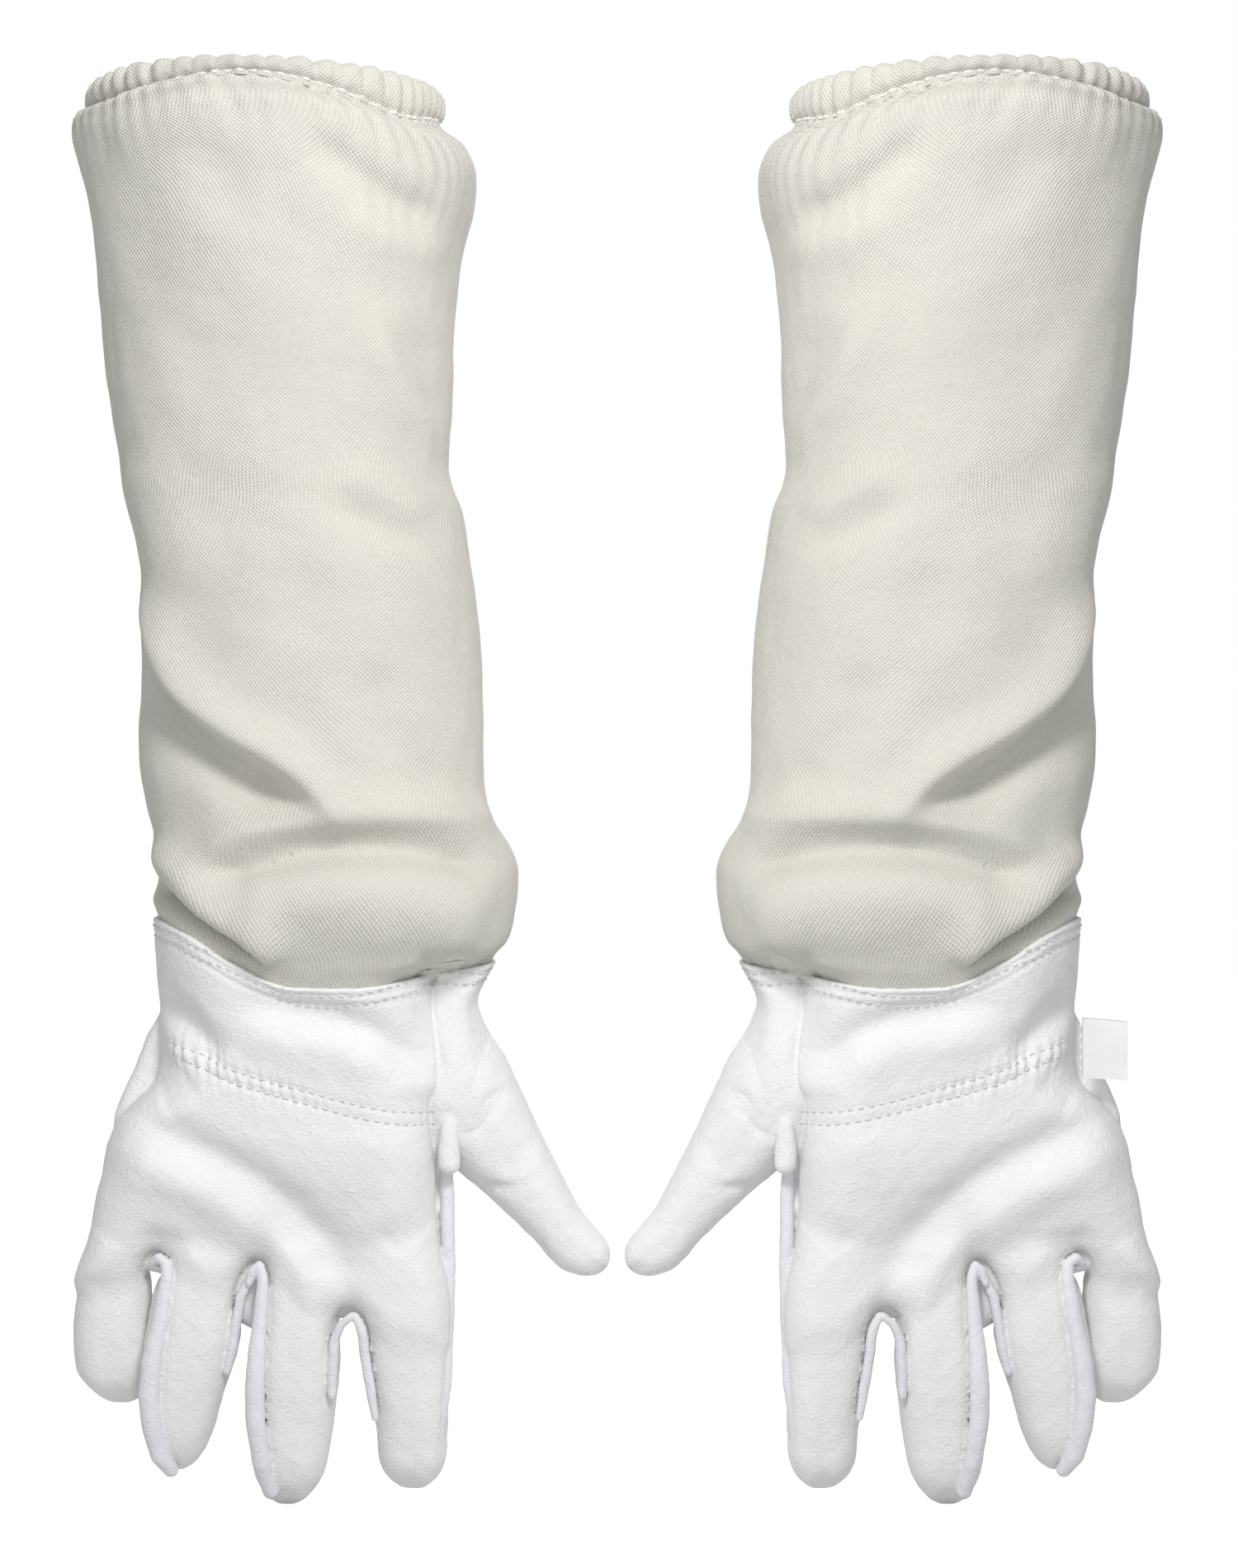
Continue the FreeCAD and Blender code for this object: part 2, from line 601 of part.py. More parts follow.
def export(nodes):
    os.makedirs(OUT_FOLDER, exist_ok=True)
    for old in os.listdir(OUT_FOLDER):
        if old.endswith(".step"):
            os.remove(os.path.join(OUT_FOLDER, old))
    for name, obj in nodes.items():
        obj.Shape.exportStep(os.path.join(OUT_FOLDER, f"{name}.step"))


fill_sheet()
make_gauntlet()
hand_wall, hand_halves = make_hand()
outside = skin("keep_out", "-sizes.sewn_gap", THUMB_STATIONS, ruled=True)
make_hand_panels(hand_wall, hand_halves, outside)
make_label(outside)
all_nodes = mirror_gloves()
doc.recompute()
check(all_nodes)
export(all_nodes)
print(f"wrote {len(all_nodes)} sub-parts")
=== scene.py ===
"""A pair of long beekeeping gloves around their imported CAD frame: leather hands, canvas sleeves, sewing.

Shapes are worked out once, for the right glove, in millimetres from its own axis: x to the thumb side,
y to the palm, z up the arm. `to_row` places them, and mirrors them for the left glove.
"""

import json
import math

import bpy
import numpy as np
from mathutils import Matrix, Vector
from mathutils.bvhtree import BVHTree

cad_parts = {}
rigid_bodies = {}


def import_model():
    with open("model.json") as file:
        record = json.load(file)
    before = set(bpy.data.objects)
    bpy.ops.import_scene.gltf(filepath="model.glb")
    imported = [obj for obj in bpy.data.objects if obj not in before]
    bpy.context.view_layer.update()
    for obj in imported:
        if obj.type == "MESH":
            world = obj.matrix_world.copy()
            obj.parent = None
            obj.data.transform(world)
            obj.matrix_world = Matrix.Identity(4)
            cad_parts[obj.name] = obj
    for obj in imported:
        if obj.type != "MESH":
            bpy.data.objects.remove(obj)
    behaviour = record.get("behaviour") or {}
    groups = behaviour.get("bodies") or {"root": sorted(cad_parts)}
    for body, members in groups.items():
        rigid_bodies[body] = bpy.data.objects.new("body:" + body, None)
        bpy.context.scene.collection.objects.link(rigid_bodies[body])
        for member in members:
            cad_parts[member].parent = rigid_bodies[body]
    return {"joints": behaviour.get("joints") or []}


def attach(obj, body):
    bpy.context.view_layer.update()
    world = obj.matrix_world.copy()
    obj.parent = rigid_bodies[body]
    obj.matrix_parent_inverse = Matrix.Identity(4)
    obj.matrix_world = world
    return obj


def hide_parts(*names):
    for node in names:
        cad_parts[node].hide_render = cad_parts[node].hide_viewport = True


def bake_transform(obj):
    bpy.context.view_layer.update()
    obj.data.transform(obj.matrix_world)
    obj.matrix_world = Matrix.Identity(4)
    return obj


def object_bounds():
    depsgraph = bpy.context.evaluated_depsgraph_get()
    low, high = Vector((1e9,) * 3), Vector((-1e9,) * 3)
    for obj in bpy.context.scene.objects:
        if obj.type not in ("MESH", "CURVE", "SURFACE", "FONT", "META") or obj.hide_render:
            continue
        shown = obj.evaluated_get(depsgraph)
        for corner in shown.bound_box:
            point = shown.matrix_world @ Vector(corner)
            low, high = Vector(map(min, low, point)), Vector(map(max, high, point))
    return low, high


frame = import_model()
cad_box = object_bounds()
JOINTS = {j["name"]: j for j in frame["joints"]}
MM = 0.001
SIDES = ("right", "left")
WRIST_FROM_AXIS = 9.0  # the wrist hinge lies this far to the thumb side of the glove's axis
AXIS_X = JOINTS["right_wrist"]["pos_m"][0] / MM - WRIST_FROM_AXIS
WRIST_Z = JOINTS["right_wrist"]["pos_m"][2] / MM


# ---------------- small maths

def curve(*stations):
    """A smooth function through (position, value) stations, flat beyond its ends."""
    s = np.array(sorted(stations), float)
    t, v = s[:, 0], s[:, 1]
    h = np.diff(t)
    slope = np.diff(v) / h
    m = np.zeros(len(t))
    if len(t) > 2:
        same = slope[:-1] * slope[1:] > 0
        mean = (slope[:-1] * h[1:] + slope[1:] * h[:-1]) / (h[1:] + h[:-1])
        limit = 3 * np.minimum(abs(slope[:-1]), abs(slope[1:]))
        m[1:-1] = np.where(same, np.clip(mean, -limit, limit), 0)
    m[0], m[-1] = slope[0], slope[-1]

    def value(at):
        at = np.clip(np.asarray(at, float), t[0], t[-1])
        i = np.clip(np.searchsorted(t, at, side="right") - 1, 0, len(h) - 1)
        u = (at - t[i]) / h[i]
        return (
            v[i] * (1 + 2 * u) * (1 - u) ** 2
            + v[i + 1] * u * u * (3 - 2 * u)
            + h[i] * (m[i] * u * (1 - u) ** 2 - m[i + 1] * u * u * (1 - u))
        ).astype(np.float32)

    return value


def smooth_step(a, b, t):
    """0 below a, 1 above b, smooth between them."""
    u = np.clip((t - a) / (b - a), 0, 1)
    return u * u * (3 - 2 * u)


def bell(t):
    """1 in the middle, falling softly to 0 on both sides."""
    return np.exp(-(t**2))


def smooth_min(a, b, k):
    """The union of two distances, rounded over k where they meet."""
    h = np.maximum(k - abs(a - b), 0) / k
    return np.minimum(a, b) - h * h * k / 4


def smooth_max(a, b, k):
    return -smooth_min(-a, -b, k)


NOISE_WAVES = 7


def value_noise(p, scale, seed):
    """Smooth repeatable noise in -1 to 1 from a few sine waves in fixed, seeded directions."""
    rng = np.random.default_rng(seed)
    total = np.zeros(len(p))
    for _ in range(NOISE_WAVES):
        d = rng.normal(size=3)
        d *= rng.uniform(0.6, 1.5) * 2 * math.pi / (scale * np.linalg.norm(d))
        total += np.sin(p @ d + rng.uniform(0, 6.28))
    return total * 1.6 / NOISE_WAVES


def pillow(outline, y, half_depth, rim):
    """Distance to a slab with an outline distance, whose edge is rounded over `rim`."""
    u = np.maximum(rim + outline, 0)
    v = y * (rim / half_depth)
    return (np.sqrt(u * u + v * v) - rim) * np.minimum(half_depth / rim, 1)


# ---------------- the leather hand as a distance field

BACK_LEFT = curve(
    (62, -76), (84, -74), (96, -70.9), (108, -68.9), (119, -66), (131, -63.4), (139, -59.9),
    (146, -53.5), (151, -48.3), (155, -46.5), (171, -45), (189, -46), (211, -47.7),
)
BACK_RIGHT = curve(
    (62, 53), (100, 52.6), (121.5, 52.7), (140, 53.3), (145.6, 54.1), (152.5, 57.6), (158, 58.5),
    (165, 57), (173, 54.1), (178.6, 52.7), (186, 52.4), (211, 53),
)
PALM_LEFT = curve(
    (60, -74), (84, -73), (108, -68.5), (131, -63.5), (140, -61.6), (149, -57.8), (159, -53.5),
    (168, -50), (176, -46), (190, -46), (211, -47.7),
)
PALM_RIGHT = curve((60, 54), (119, 55), (143, 60), (160, 64), (176, 63.7), (189, 70), (198, 74), (211, 74))
BACK_BOTTOM = curve(
    (-76, 82), (-56, 84), (-46, 91), (-38, 88), (-29, 82), (-18, 84), (-10, 89), (-2, 84), (8, 74),
    (18, 73), (23.4, 72), (29, 68), (40, 62), (57, 62),
)
PALM_BOTTOM = curve(
    (-76, 80), (-48, 84), (-29, 72), (-17, 66), (-9.7, 63), (0, 64), (12, 66), (23.4, 68), (34, 62),
    (57, 62),
)
DEPTH = curve(
    (60, 13.2), (72, 13.6), (84, 14.4), (96, 16.2), (108, 20), (119, 24), (131, 27), (142, 28.5),
    (154, 30), (166, 32), (176, 34.5), (190, 39), (211, 44),
)
EDGE = curve((60, 10), (84, 12), (108, 17), (131, 21), (154, 28), (170, 40), (190, 46), (211, 48))
CUFF_TOP_BACK = curve((-50, 211), (-32, 205), (-15, 195), (5, 186.6), (23, 186.4), (49, 189.6), (73, 193.6))
CUFF_TOP_PALM = curve((-50, 211), (-20, 204), (20, 199), (50, 195), (73, 193.6))

# Each finger: its centre, half width and half depth by height, its tip's height, where its root lies
# towards the palm, how far its tip curls that way, and how long its rounded end is.
FINGERS = {
    "index": dict(
        path=((110, 38), (72, 41.2), (61.5, 40.6), (50, 41), (38, 41.8), (26.5, 42.4), (5, 42.5)),
        wide=((110, 15), (72, 15.5), (61.5, 16.2), (50, 15), (38, 13.8), (26.5, 12.7), (5, 11.5)),
        deep=((110, 14), (60, 13.5), (30, 11.5), (5, 10)),
        tip=5.8, palmwards=0.0, curl=12.0, blunt=15.0),
    "middle": dict(
        path=((110, 5), (72, 3), (61.5, 2.2), (50, 1.4), (38, 0.6), (26.5, -0.1), (3.5, -2)),
        wide=((110, 14), (72, 14.5), (61.5, 15.2), (50, 15.8), (38, 15.4), (26.5, 14.4), (0, 12)),
        deep=((110, 14), (60, 14), (30, 12), (0, 10)),
        tip=0.0, palmwards=0.0, curl=13.0, blunt=19.0),
    "ring": dict(
        path=((110, -26), (84, -31), (72, -33), (61.5, -34.5), (50, -36.5), (38, -38.8), (12, -41.5)),
        wide=((110, 13), (84, 15), (72, 16), (61.5, 16.6), (50, 15.8), (38, 14.4), (12, 10.5)),
        deep=((110, 14), (60, 13.5), (30, 11.5), (12, 9.5)),
        tip=12.0, palmwards=0.0, curl=12.0, blunt=22.0),
    "little": dict(
        path=((110, -58), (84, -61.5), (72, -62.6), (61.5, -63.2), (50, -62.6), (36, -61)),
        wide=((110, 10), (84, 12.5), (72, 13.6), (61.5, 14.1), (50, 13.8), (36, 12)),
        deep=((110, 13), (60, 12.5), (36, 10.5)),
        tip=36.0, palmwards=4.0, curl=8.0, blunt=16.0),
}
FINGER_TOP = 104.0  # the fingers run up into the hand to this height
FINGER_TAPER, TAPER_LENGTH = 6, 26  # and draw in by this much over this length, so that no ledge shows
LEAST = 0.02  # keeps a rounded end's section from closing up completely

# Thumb: where its axis starts and which way it runs, and its half width and half depth along it.
THUMB_ROOT = (58.0, 5.0, 150.0)
THUMB_DIRECTION = (0.608, 0.794)
THUMB_LENGTH = 84.5
THUMB_WIDE = curve((-30, 20), (0, 21), (15, 18.5), (31, 15.3), (48, 12), (62, 9.9), (74, 9.6), (84.5, 8.5))
THUMB_DEEP = curve((-30, 20), (0, 20), (31, 15), (62, 10.5), (84.5, 9))
THUMB_SHIFT = curve((-30, 0), (31, -1.7), (66, -2), (84.5, 0.6))  # sideways from its axis
THUMB_START, THUMB_END = -26, 12  # where its shape begins, and the length of its rounded end
THUMB_LEAN = 0.06  # its tip leans towards the palm
ROOT_INSET, ROOT_LENGTH = 0.8, 20  # the hand's own root of the thumb: how far under the leather, how long

# Rolled strips where leather edges are turned over, by finger: (x, y, z, radius) down each one.
ROLLS = {
    "ring": (
        ((-47, -8, 89.2, 2), (-44.6, -10, 91, 2.1), (-41.6, -11.2, 89, 2.3), (-41.4, -11.5, 84, 2.6),
         (-42.8, -11, 76, 2.9), (-44.6, -10, 66, 3.3), (-47, -8.2, 54, 3.8), (-48.4, -6, 42, 4.0),
         (-47.8, -3, 30, 4.0), (-45.6, 0.5, 20, 3.8), (-42.6, 4, 14.5, 3.0)),
        ((-12.8, -9.5, 83.5, 1.7), (-16.4, -8, 77, 2.1), (-18.2, -6.5, 68, 2.3), (-20, -5, 58, 2.1),
         (-22, -3.5, 50, 1.8)),
    ),
    "middle": (
        ((-13.2, -10.5, 82, 1.6), (-11.6, -11.5, 87, 1.8), (-9.2, -12.0, 88.5, 1.9), (-8.0, -12, 84, 2.1),
         (-8.6, -11.5, 74, 2.6), (-10.2, -10.5, 60, 3.3), (-11.2, -9, 46, 3.6), (-11.2, -6, 32, 3.7),
         (-9.6, -2, 18, 3.6), (-7.0, 3.5, 7, 3.2)),
        ((22.6, -11, 70.8, 1.6), (18.8, -10, 67.6, 1.8), (16.2, -8, 62, 2.1), (15.2, -6, 52, 2.2),
         (15, -4.5, 42, 2.0)),
    ),
    "index": (
        ((24, -11.2, 70.8, 1.6), (26.4, -10.5, 65, 2.1), (27.2, -8.6, 56, 2.2), (29, -6.5, 44, 2.0),
         (30.4, -5, 34, 1.6)),
        ((55.0, -4, 122, 2.8), (55.4, -2.6, 100, 2.9), (55.6, -1.4, 80, 2.9), (55.2, 0, 60, 2.9),
         (53.8, 2, 40, 2.8), (52.0, 4, 26, 2.6), (49.4, 7, 14, 2.2)),
    ),
    "little": (),
}
THUMB_TAB = ((55.0, -11.5, 150, 2.6), (56.4, -12.0, 138, 3.8), (56.6, -11.5, 124, 4.0))
CREASE_WIDTH, CREASE_DEPTH, CREASE_ROUND = 1.5, 0.65, 1.0  # the sewn groove where two panels meet
KNUCKLE_ROUND, ROOT_ROUND = 9.0, 12
PANEL_SEAM = 3  # the seam between back and palm lies this far towards the palm
PALM_FRONT, PALM_THUMB_FRONT = 6, 7  # how far the palm comes forward, and how much more beside the thumb


def finger_distance(x, y, z, path, wide, deep, tip, palmwards, curl, blunt):
    """Distance to one finger: a tube with an oval section that rounds off towards its tip."""
    centre, half_width, half_depth = curve(*path)(z), curve(*wide)(z), curve(*deep)(z)
    down = np.clip((FINGER_TOP - z) / (FINGER_TOP - tip), 0, 1.2)
    cap = np.clip((tip + blunt - z) / blunt, 0, 2)
    shrink = np.sqrt(np.maximum(1 - cap**2.4, 0.0))
    outline = abs(x - centre) - half_width * np.maximum(shrink, LEAST)
    outline = np.maximum(outline, tip - z)
    taper = FINGER_TAPER * smooth_step(FINGER_TOP - TAPER_LENGTH, FINGER_TOP, z)
    outline = np.maximum(outline, z - FINGER_TOP) + taper
    rim = np.minimum(half_width * 0.82, np.maximum(half_width * shrink, 1.0))
    depth = half_depth * np.maximum(shrink, 0.05) ** 0.8
    return pillow(outline, y - palmwards - curl * down**2.2, depth, rim)


def thumb_coordinates(x, z):
    """How far along the thumb a point is, and how far across it."""
    dx, dz = x - THUMB_ROOT[0], z - THUMB_ROOT[2]
    c, s = THUMB_DIRECTION
    return dx * c - dz * s, dx * s + dz * c


def thumb_distance(x, y, z):
    """Distance to the thumb, built like a finger along its own slanting axis."""
    along, across = thumb_coordinates(x, z)
    cap = np.clip((along - THUMB_LENGTH + THUMB_END) / THUMB_END, 0, 2)
    shrink = np.sqrt(np.maximum(1 - cap**2.2, 0.0))
    wide = THUMB_WIDE(along) * np.maximum(shrink, LEAST)
    outline = np.maximum(abs(across - THUMB_SHIFT(along)) - wide, along - THUMB_LENGTH)
    outline = np.maximum(outline, THUMB_START - along)
    deep = THUMB_DEEP(along) * np.maximum(shrink, 0.05) ** 0.8
    return pillow(outline, y - THUMB_ROOT[1] - THUMB_LEAN * along, deep, np.maximum(wide * 0.9, 0.5))


def roll_distance(x, y, z, points):
    """Distance to a chain of tapered capsules."""
    best = np.float32(1e3)
    for a, b in zip(points[:-1], points[1:]):
        ax, ay, az, ra = a
        bx, by, bz, rb = b
        dx, dy, dz = bx - ax, by - ay, bz - az
        t = ((x - ax) * dx + (y - ay) * dy + (z - az) * dz) / (dx * dx + dy * dy + dz * dz)
        t = np.clip(t, 0, 1)
        px, py, pz = x - ax - t * dx, y - ay - t * dy, z - az - t * dz
        best = np.minimum(best, np.sqrt(px * px + py * py + pz * pz) - (ra + (rb - ra) * t))
    return best


def creased_union(a, b):
    """The union of two distances with a sewn-in groove where their surfaces meet."""
    groove = CREASE_DEPTH * bell((a - b) / CREASE_WIDTH)
    return smooth_min(a, b, CREASE_ROUND) + groove


def panels_distance(x, y, z, fingers):
    """Distance to the back and palm panels with some of the fingers, without their rolled strips."""
    depth, edge = DEPTH(z), EDGE(z)
    back_outline = smooth_max(smooth_max(BACK_LEFT(z) - x, x - BACK_RIGHT(z), 4), BACK_BOTTOM(x) - z, 4)
    hand = smooth_max(pillow(back_outline, y, depth, np.minimum(edge, 30)), y - PANEL_SEAM, 1)
    for name in fingers:
        hand = smooth_min(hand, finger_distance(x, y, z, **FINGERS[name]), KNUCKLE_ROUND)
    palm_outline = smooth_max(smooth_max(PALM_LEFT(z) - x, x - PALM_RIGHT(z), 4), PALM_BOTTOM(x) - z, 6)
    palm = pillow(palm_outline, y - PANEL_SEAM, depth - 1, np.minimum(edge, 26) * 0.8)
    front = PALM_FRONT + PALM_THUMB_FRONT * smooth_step(38, 54, x) * smooth_step(118, 150, z)
    palm = smooth_max(palm, -front - y, 5)
    if "index" in fingers:
        along, _ = thumb_coordinates(x, z)
        root = smooth_max(thumb_distance(x, y, z) + ROOT_INSET, along - ROOT_LENGTH, 8)
        palm = smooth_min(palm, root, ROOT_ROUND)
    return creased_union(hand, palm)


def rolls_distance(x, y, z, fingers, tab=True):
    """Distance to the rolled strips of some fingers, with or without the tab at the thumb's root."""
    rolls = [roll_distance(x, y, z, points) for name in fingers for points in ROLLS[name]]
    if tab and "index" in fingers:
        rolls.append(roll_distance(x, y, z, THUMB_TAB))
    best = np.float32(1e3)
    for roll in rolls:
        best = np.minimum(best, roll)
    return best


def cuff_top(x, y):
    """Height of the leather cuff's upper edge."""
    palm = smooth_step(-12, 12, y)
    return CUFF_TOP_BACK(x) * (1 - palm) + CUFF_TOP_PALM(x) * palm


def leather_distance(fingers, open_top=False):
    """Signed distance, in mm, to the leather hand and cuff with some of its fingers."""
    def distance(x, y, z):
        hand = creased_union(panels_distance(x, y, z, fingers), rolls_distance(x, y, z, fingers))
        return hand if open_top else smooth_max(hand, z - cuff_top(x, y), 1.6)
    return distance


# ---------------- meshing a distance field

def surface_net(distance, low, high, step):
    """Vertices and quads of a distance's zero surface, one vertex in each grid cell that it crosses."""
    axes = [np.arange(math.floor(a / step), b / step, dtype=np.float32) * step for a, b in zip(low, high)]
    f = distance(axes[0][:, None, None], axes[1][None, :, None], axes[2][None, None, :])
    f = np.broadcast_to(f, [len(a) for a in axes]).astype(np.float32)
    inside = f < 0
    cells = tuple(n - 1 for n in f.shape)
    total = np.zeros(cells + (3,), np.float32)
    count = np.zeros(cells, np.float32)
    corner = [(i, j, k) for i in (0, 1) for j in (0, 1) for k in (0, 1)]

    def part(a, o):
        return a[o[0]:o[0] + cells[0], o[1]:o[1] + cells[1], o[2]:o[2] + cells[2]]

    for axis in range(3):
        for o in corner:
            if o[axis]:
                continue
            e = tuple(v + (i == axis) for i, v in enumerate(o))
            fa, fb = part(f, o), part(f, e)
            cross = part(inside, o) != part(inside, e)
            t = np.where(cross, fa / np.where(cross, fa - fb, 1), 0)
            for i in range(3):
                total[..., i] += np.where(cross, o[i] + (t if i == axis else 0), 0)
            count += cross
    used = count > 0
    index = -np.ones(cells, np.int64)
    index[used] = np.arange(used.sum())
    where = np.argwhere(used)
    verts = (where + total[used] / count[used][:, None]) * step + np.array([a[0] for a in axes])
    quads = []
    for axis in range(3):
        u, v = (axis + 1) % 3, (axis + 2) % 3
        lo = [slice(0, cells[i]) if i == axis else slice(1, cells[i]) for i in range(3)]
        hi = list(lo)
        hi[axis] = slice(1, cells[axis] + 1)
        a, b = inside[tuple(lo)], inside[tuple(hi)]
        for flip, mask in ((False, a & ~b), (True, b & ~a)):
            at = np.argwhere(mask) + np.array([0 if i == axis else 1 for i in range(3)])
            ring = []
            for du, dv in ((0, 0), (1, 0), (1, 1), (0, 1)):
                c = at.copy()
                c[:, u] -= du
                c[:, v] -= dv
                ring.append(index[c[:, 0], c[:, 1], c[:, 2]])
            quad = np.stack(ring, 1)
            quads.append(quad[:, ::-1] if flip else quad)
    return verts, np.concatenate(quads)


def gradient(distance, p, reach=0.35):
    """A distance's gradient at each point, from samples a little ahead and behind."""
    g = np.zeros_like(p)
    for i in range(3):
        ahead, behind = p.copy(), p.copy()
        ahead[:, i] += reach
        behind[:, i] -= reach
        g[:, i] = (distance(*ahead.T) - distance(*behind.T)) / (2 * reach)
    return g


def settle(distance, p, level=0.0, rounds=2, limit=0.8):
    """Moves points onto the surface where distance equals level, along its gradient."""
    for _ in range(rounds):
        g = gradient(distance, p)
        size = np.maximum((g * g).sum(1), 0.05)
        step = ((distance(*p.T) - level) / size)[:, None] * g
        p = p - np.clip(step, -limit, limit)
    return p


def soften(points, quads):
    """Moves each point halfway to the middle of its neighbours."""
    total = np.zeros_like(points)
    count = np.zeros(len(points))
    for i in range(4):
        a, b = quads[:, i], quads[:, (i + 1) % 4]
        for here, there in ((a, b), (b, a)):
            np.add.at(total, here, points[there])
            np.add.at(count, here, 1)
    return (points + total / count[:, None]) / 2


# ---------------- making Blender meshes

def to_row(points, side):
    """Glove millimetres to row metres, mirrored for the left glove."""
    p = np.array(points, float)
    x = AXIS_X + p[:, 0]
    return np.stack([x if side == "right" else -x, p[:, 1], p[:, 2]], 1) * MM


CLOTH_RADIUS = 60.0
CLOTH_ROUND = 2 * math.pi * CLOTH_RADIUS  # one turn of the sleeve in cloth coordinates, in mm


def make_mesh(name, points, faces, side, material, uv=None):
    """A smooth-shaded object from glove-space points; faces turn over in the mirrored glove."""
    mesh = bpy.data.meshes.new(name)
    order = np.asarray(faces)
    if side == "left":
        order = order[:, ::-1]
    mesh.from_pydata(to_row(points, side).tolist(), [], order.tolist())
    mesh.polygons.foreach_set("use_smooth", [True] * len(mesh.polygons))
    if uv is not None:
        layer = mesh.uv_layers.new(name="cloth")
        corners = np.asarray(uv, np.float32)[order]
        closing = np.ptp(corners[:, :, 0], axis=1) > CLOTH_ROUND / 2
        corners[closing, :, 0] += CLOTH_ROUND * (corners[closing, :, 0] < CLOTH_ROUND / 2)
        layer.data.foreach_set("uv", corners.ravel())
    mesh.materials.append(material)
    mesh.update()
    obj = bpy.data.objects.new(name, mesh)
    bpy.context.scene.collection.objects.link(obj)
    return obj


def keep_faces(points, faces, mask):
    """The chosen faces with only the vertices they use."""
    chosen = faces[mask]
    used, back = np.unique(chosen, return_inverse=True)
    return points[used], back.reshape(chosen.shape)


# ---------------- folds drawn on a surface

def smooth_path(points, count=24):
    """Evenly spread points along a smooth line through a few (x, z) points."""
    p = np.array(points, float)
    t = np.concatenate([[0], np.cumsum(np.hypot(*np.diff(p, axis=0).T))])
    u = np.linspace(0, t[-1], count)
    return np.stack([curve(*zip(t, p[:, i]))(u) for i in range(p.shape[1])], 1)


def beside_path(x, z, points):
    """Signed distance to a path, positive to the left of its direction, and the share of its length."""
    path = smooth_path(points)
    best = np.full(x.shape, 1e6)
    side = np.zeros(x.shape)
    share = np.zeros(x.shape)
    for i, (a, b) in enumerate(zip(path[:-1], path[1:])):
        d = b - a
        t = np.clip(((x - a[0]) * d[0] + (z - a[1]) * d[1]) / (d @ d), 0, 1)
        dx, dz = x - a[0] - t * d[0], z - a[1] - t * d[1]
        dist = np.hypot(dx, dz)
        near = dist < best
        best = np.where(near, dist, best)
        side = np.where(near, np.sign(d[0] * dz - d[1] * dx), side)
        share = np.where(near, (i + t) / (len(path) - 1), share)
    return best * side, share


def fold(x, z, points, height, left, right, ends):
    """A soft ridge (or valley, for a negative height) along a path, with a width on each side of it."""
    d, share = beside_path(x, z, points)
    fade = smooth_step(0, ends, share) * smooth_step(0, ends, 1 - share)
    return height * bell(d / np.where(d > 0, left, right)) * fade


def all_folds(x, z, folds, ends=0.25):
    """Several folds together; each fades over its own share of its length, or over `ends`."""
    return sum(fold(x, z, *values[:4], *(values[4:] or (ends,))) for values in folds)


def normals_of(points, quads):
    """Unit normals at the points, from the quads around each."""
    n = np.zeros_like(points)
    a, b, c, d = (points[quads[:, i]] for i in range(4))
    face = np.cross(c - a, d - b)
    for i in range(4):
        np.add.at(n, quads[:, i], face)
    return n / np.maximum(np.linalg.norm(n, axis=1, keepdims=True), 1e-9)


# Folds: (path, height, width left of it, width right of it), in glove millimetres, and for some the share
# of the length over which both ends fade.
HAND_FOLDS = (
    (((-47, 187), (-37, 177), (-28, 168), (-18, 160)), -3.8, 6, 5),
    (((-50, 178), (-36, 168), (-30, 160)), 1.2, 6, 6),
    (((-16, 186), (0, 179), (20, 175), (36, 168), (46, 161), (54, 151)), -4.2, 6, 6),
    (((-20, 176), (0, 168), (22, 163), (40, 156)), 1.8, 8, 8),
    (((-58, 144), (-42, 136), (-28, 129), (-14, 121), (0, 110), (11, 100), (18, 86), (23, 74)), -5, 8, 8),
    (((-44, 146), (-36, 151), (-30, 156)), -1.2, 6, 6),
    (((-56, 130), (-36, 120), (-18, 110), (-4, 100)), 2.6, 8, 9),
    (((-54, 101), (-35, 96), (-11, 92)), -1.2, 5, 4),
    (((34, 140), (30, 118), (36, 96)), 1.6, 12, 12),
    (((6, 112), (14, 100), (12, 88)), 1.0, 6, 6),
)
PALM_FOLDS = (
    (((-55, 150), (-25, 128), (8, 118), (40, 122)), -2.4, 5, 6),
    (((-52, 118), (-20, 100), (20, 98)), -1.8, 5, 5),
    (((-40, 172), (0, 164), (45, 170)), -2.2, 6, 6),
    (((48, 150), (38, 128), (44, 108)), -2.0, 5, 6),
)
THUMB_FOLDS = (
    (((80, 150), (72, 146), (67, 138), (62, 130)), -1.3, 1.8, 2.4),
    (((77, 146), (70, 139), (66, 130)), -0.8, 1.4, 1.8),
    (((59, 119), (67, 115), (76, 114.5), (84, 116)), -1.6, 2.2, 3.0),
    (((86, 134), (80, 124), (72, 118)), -0.7, 4, 4),
)
# Wrist: two shirring rows, and how strongly the leather gathers along them.
SHIRR_ROW = (
    (-40, 167.5), (-34, 165.4), (-27, 163), (-18, 158.8), (-10, 156), (0, 153), (7, 151.2), (20, 147.6),
    (32, 144.8), (42, 143.2), (53, 142.4),
)
ROW_GAP = 4.3
ROW_WIDTH = 0.9
GATHER = curve(
    (-44, 0.05), (-36, 0.45), (-26, 0.8), (-10, 0.85), (4, 0.65), (14, 0.3), (30, 0.14), (54, 0.06),
)
PUCKER_PITCH = 3.6
# Cuff: two stitch rows, each in a shallow groove, at these depths below the leather's edge.
CUFF_ROWS = (2.8, 6.4)
CUFF_GROOVE, CUFF_GROOVE_WIDTH = 0.6, 0.8


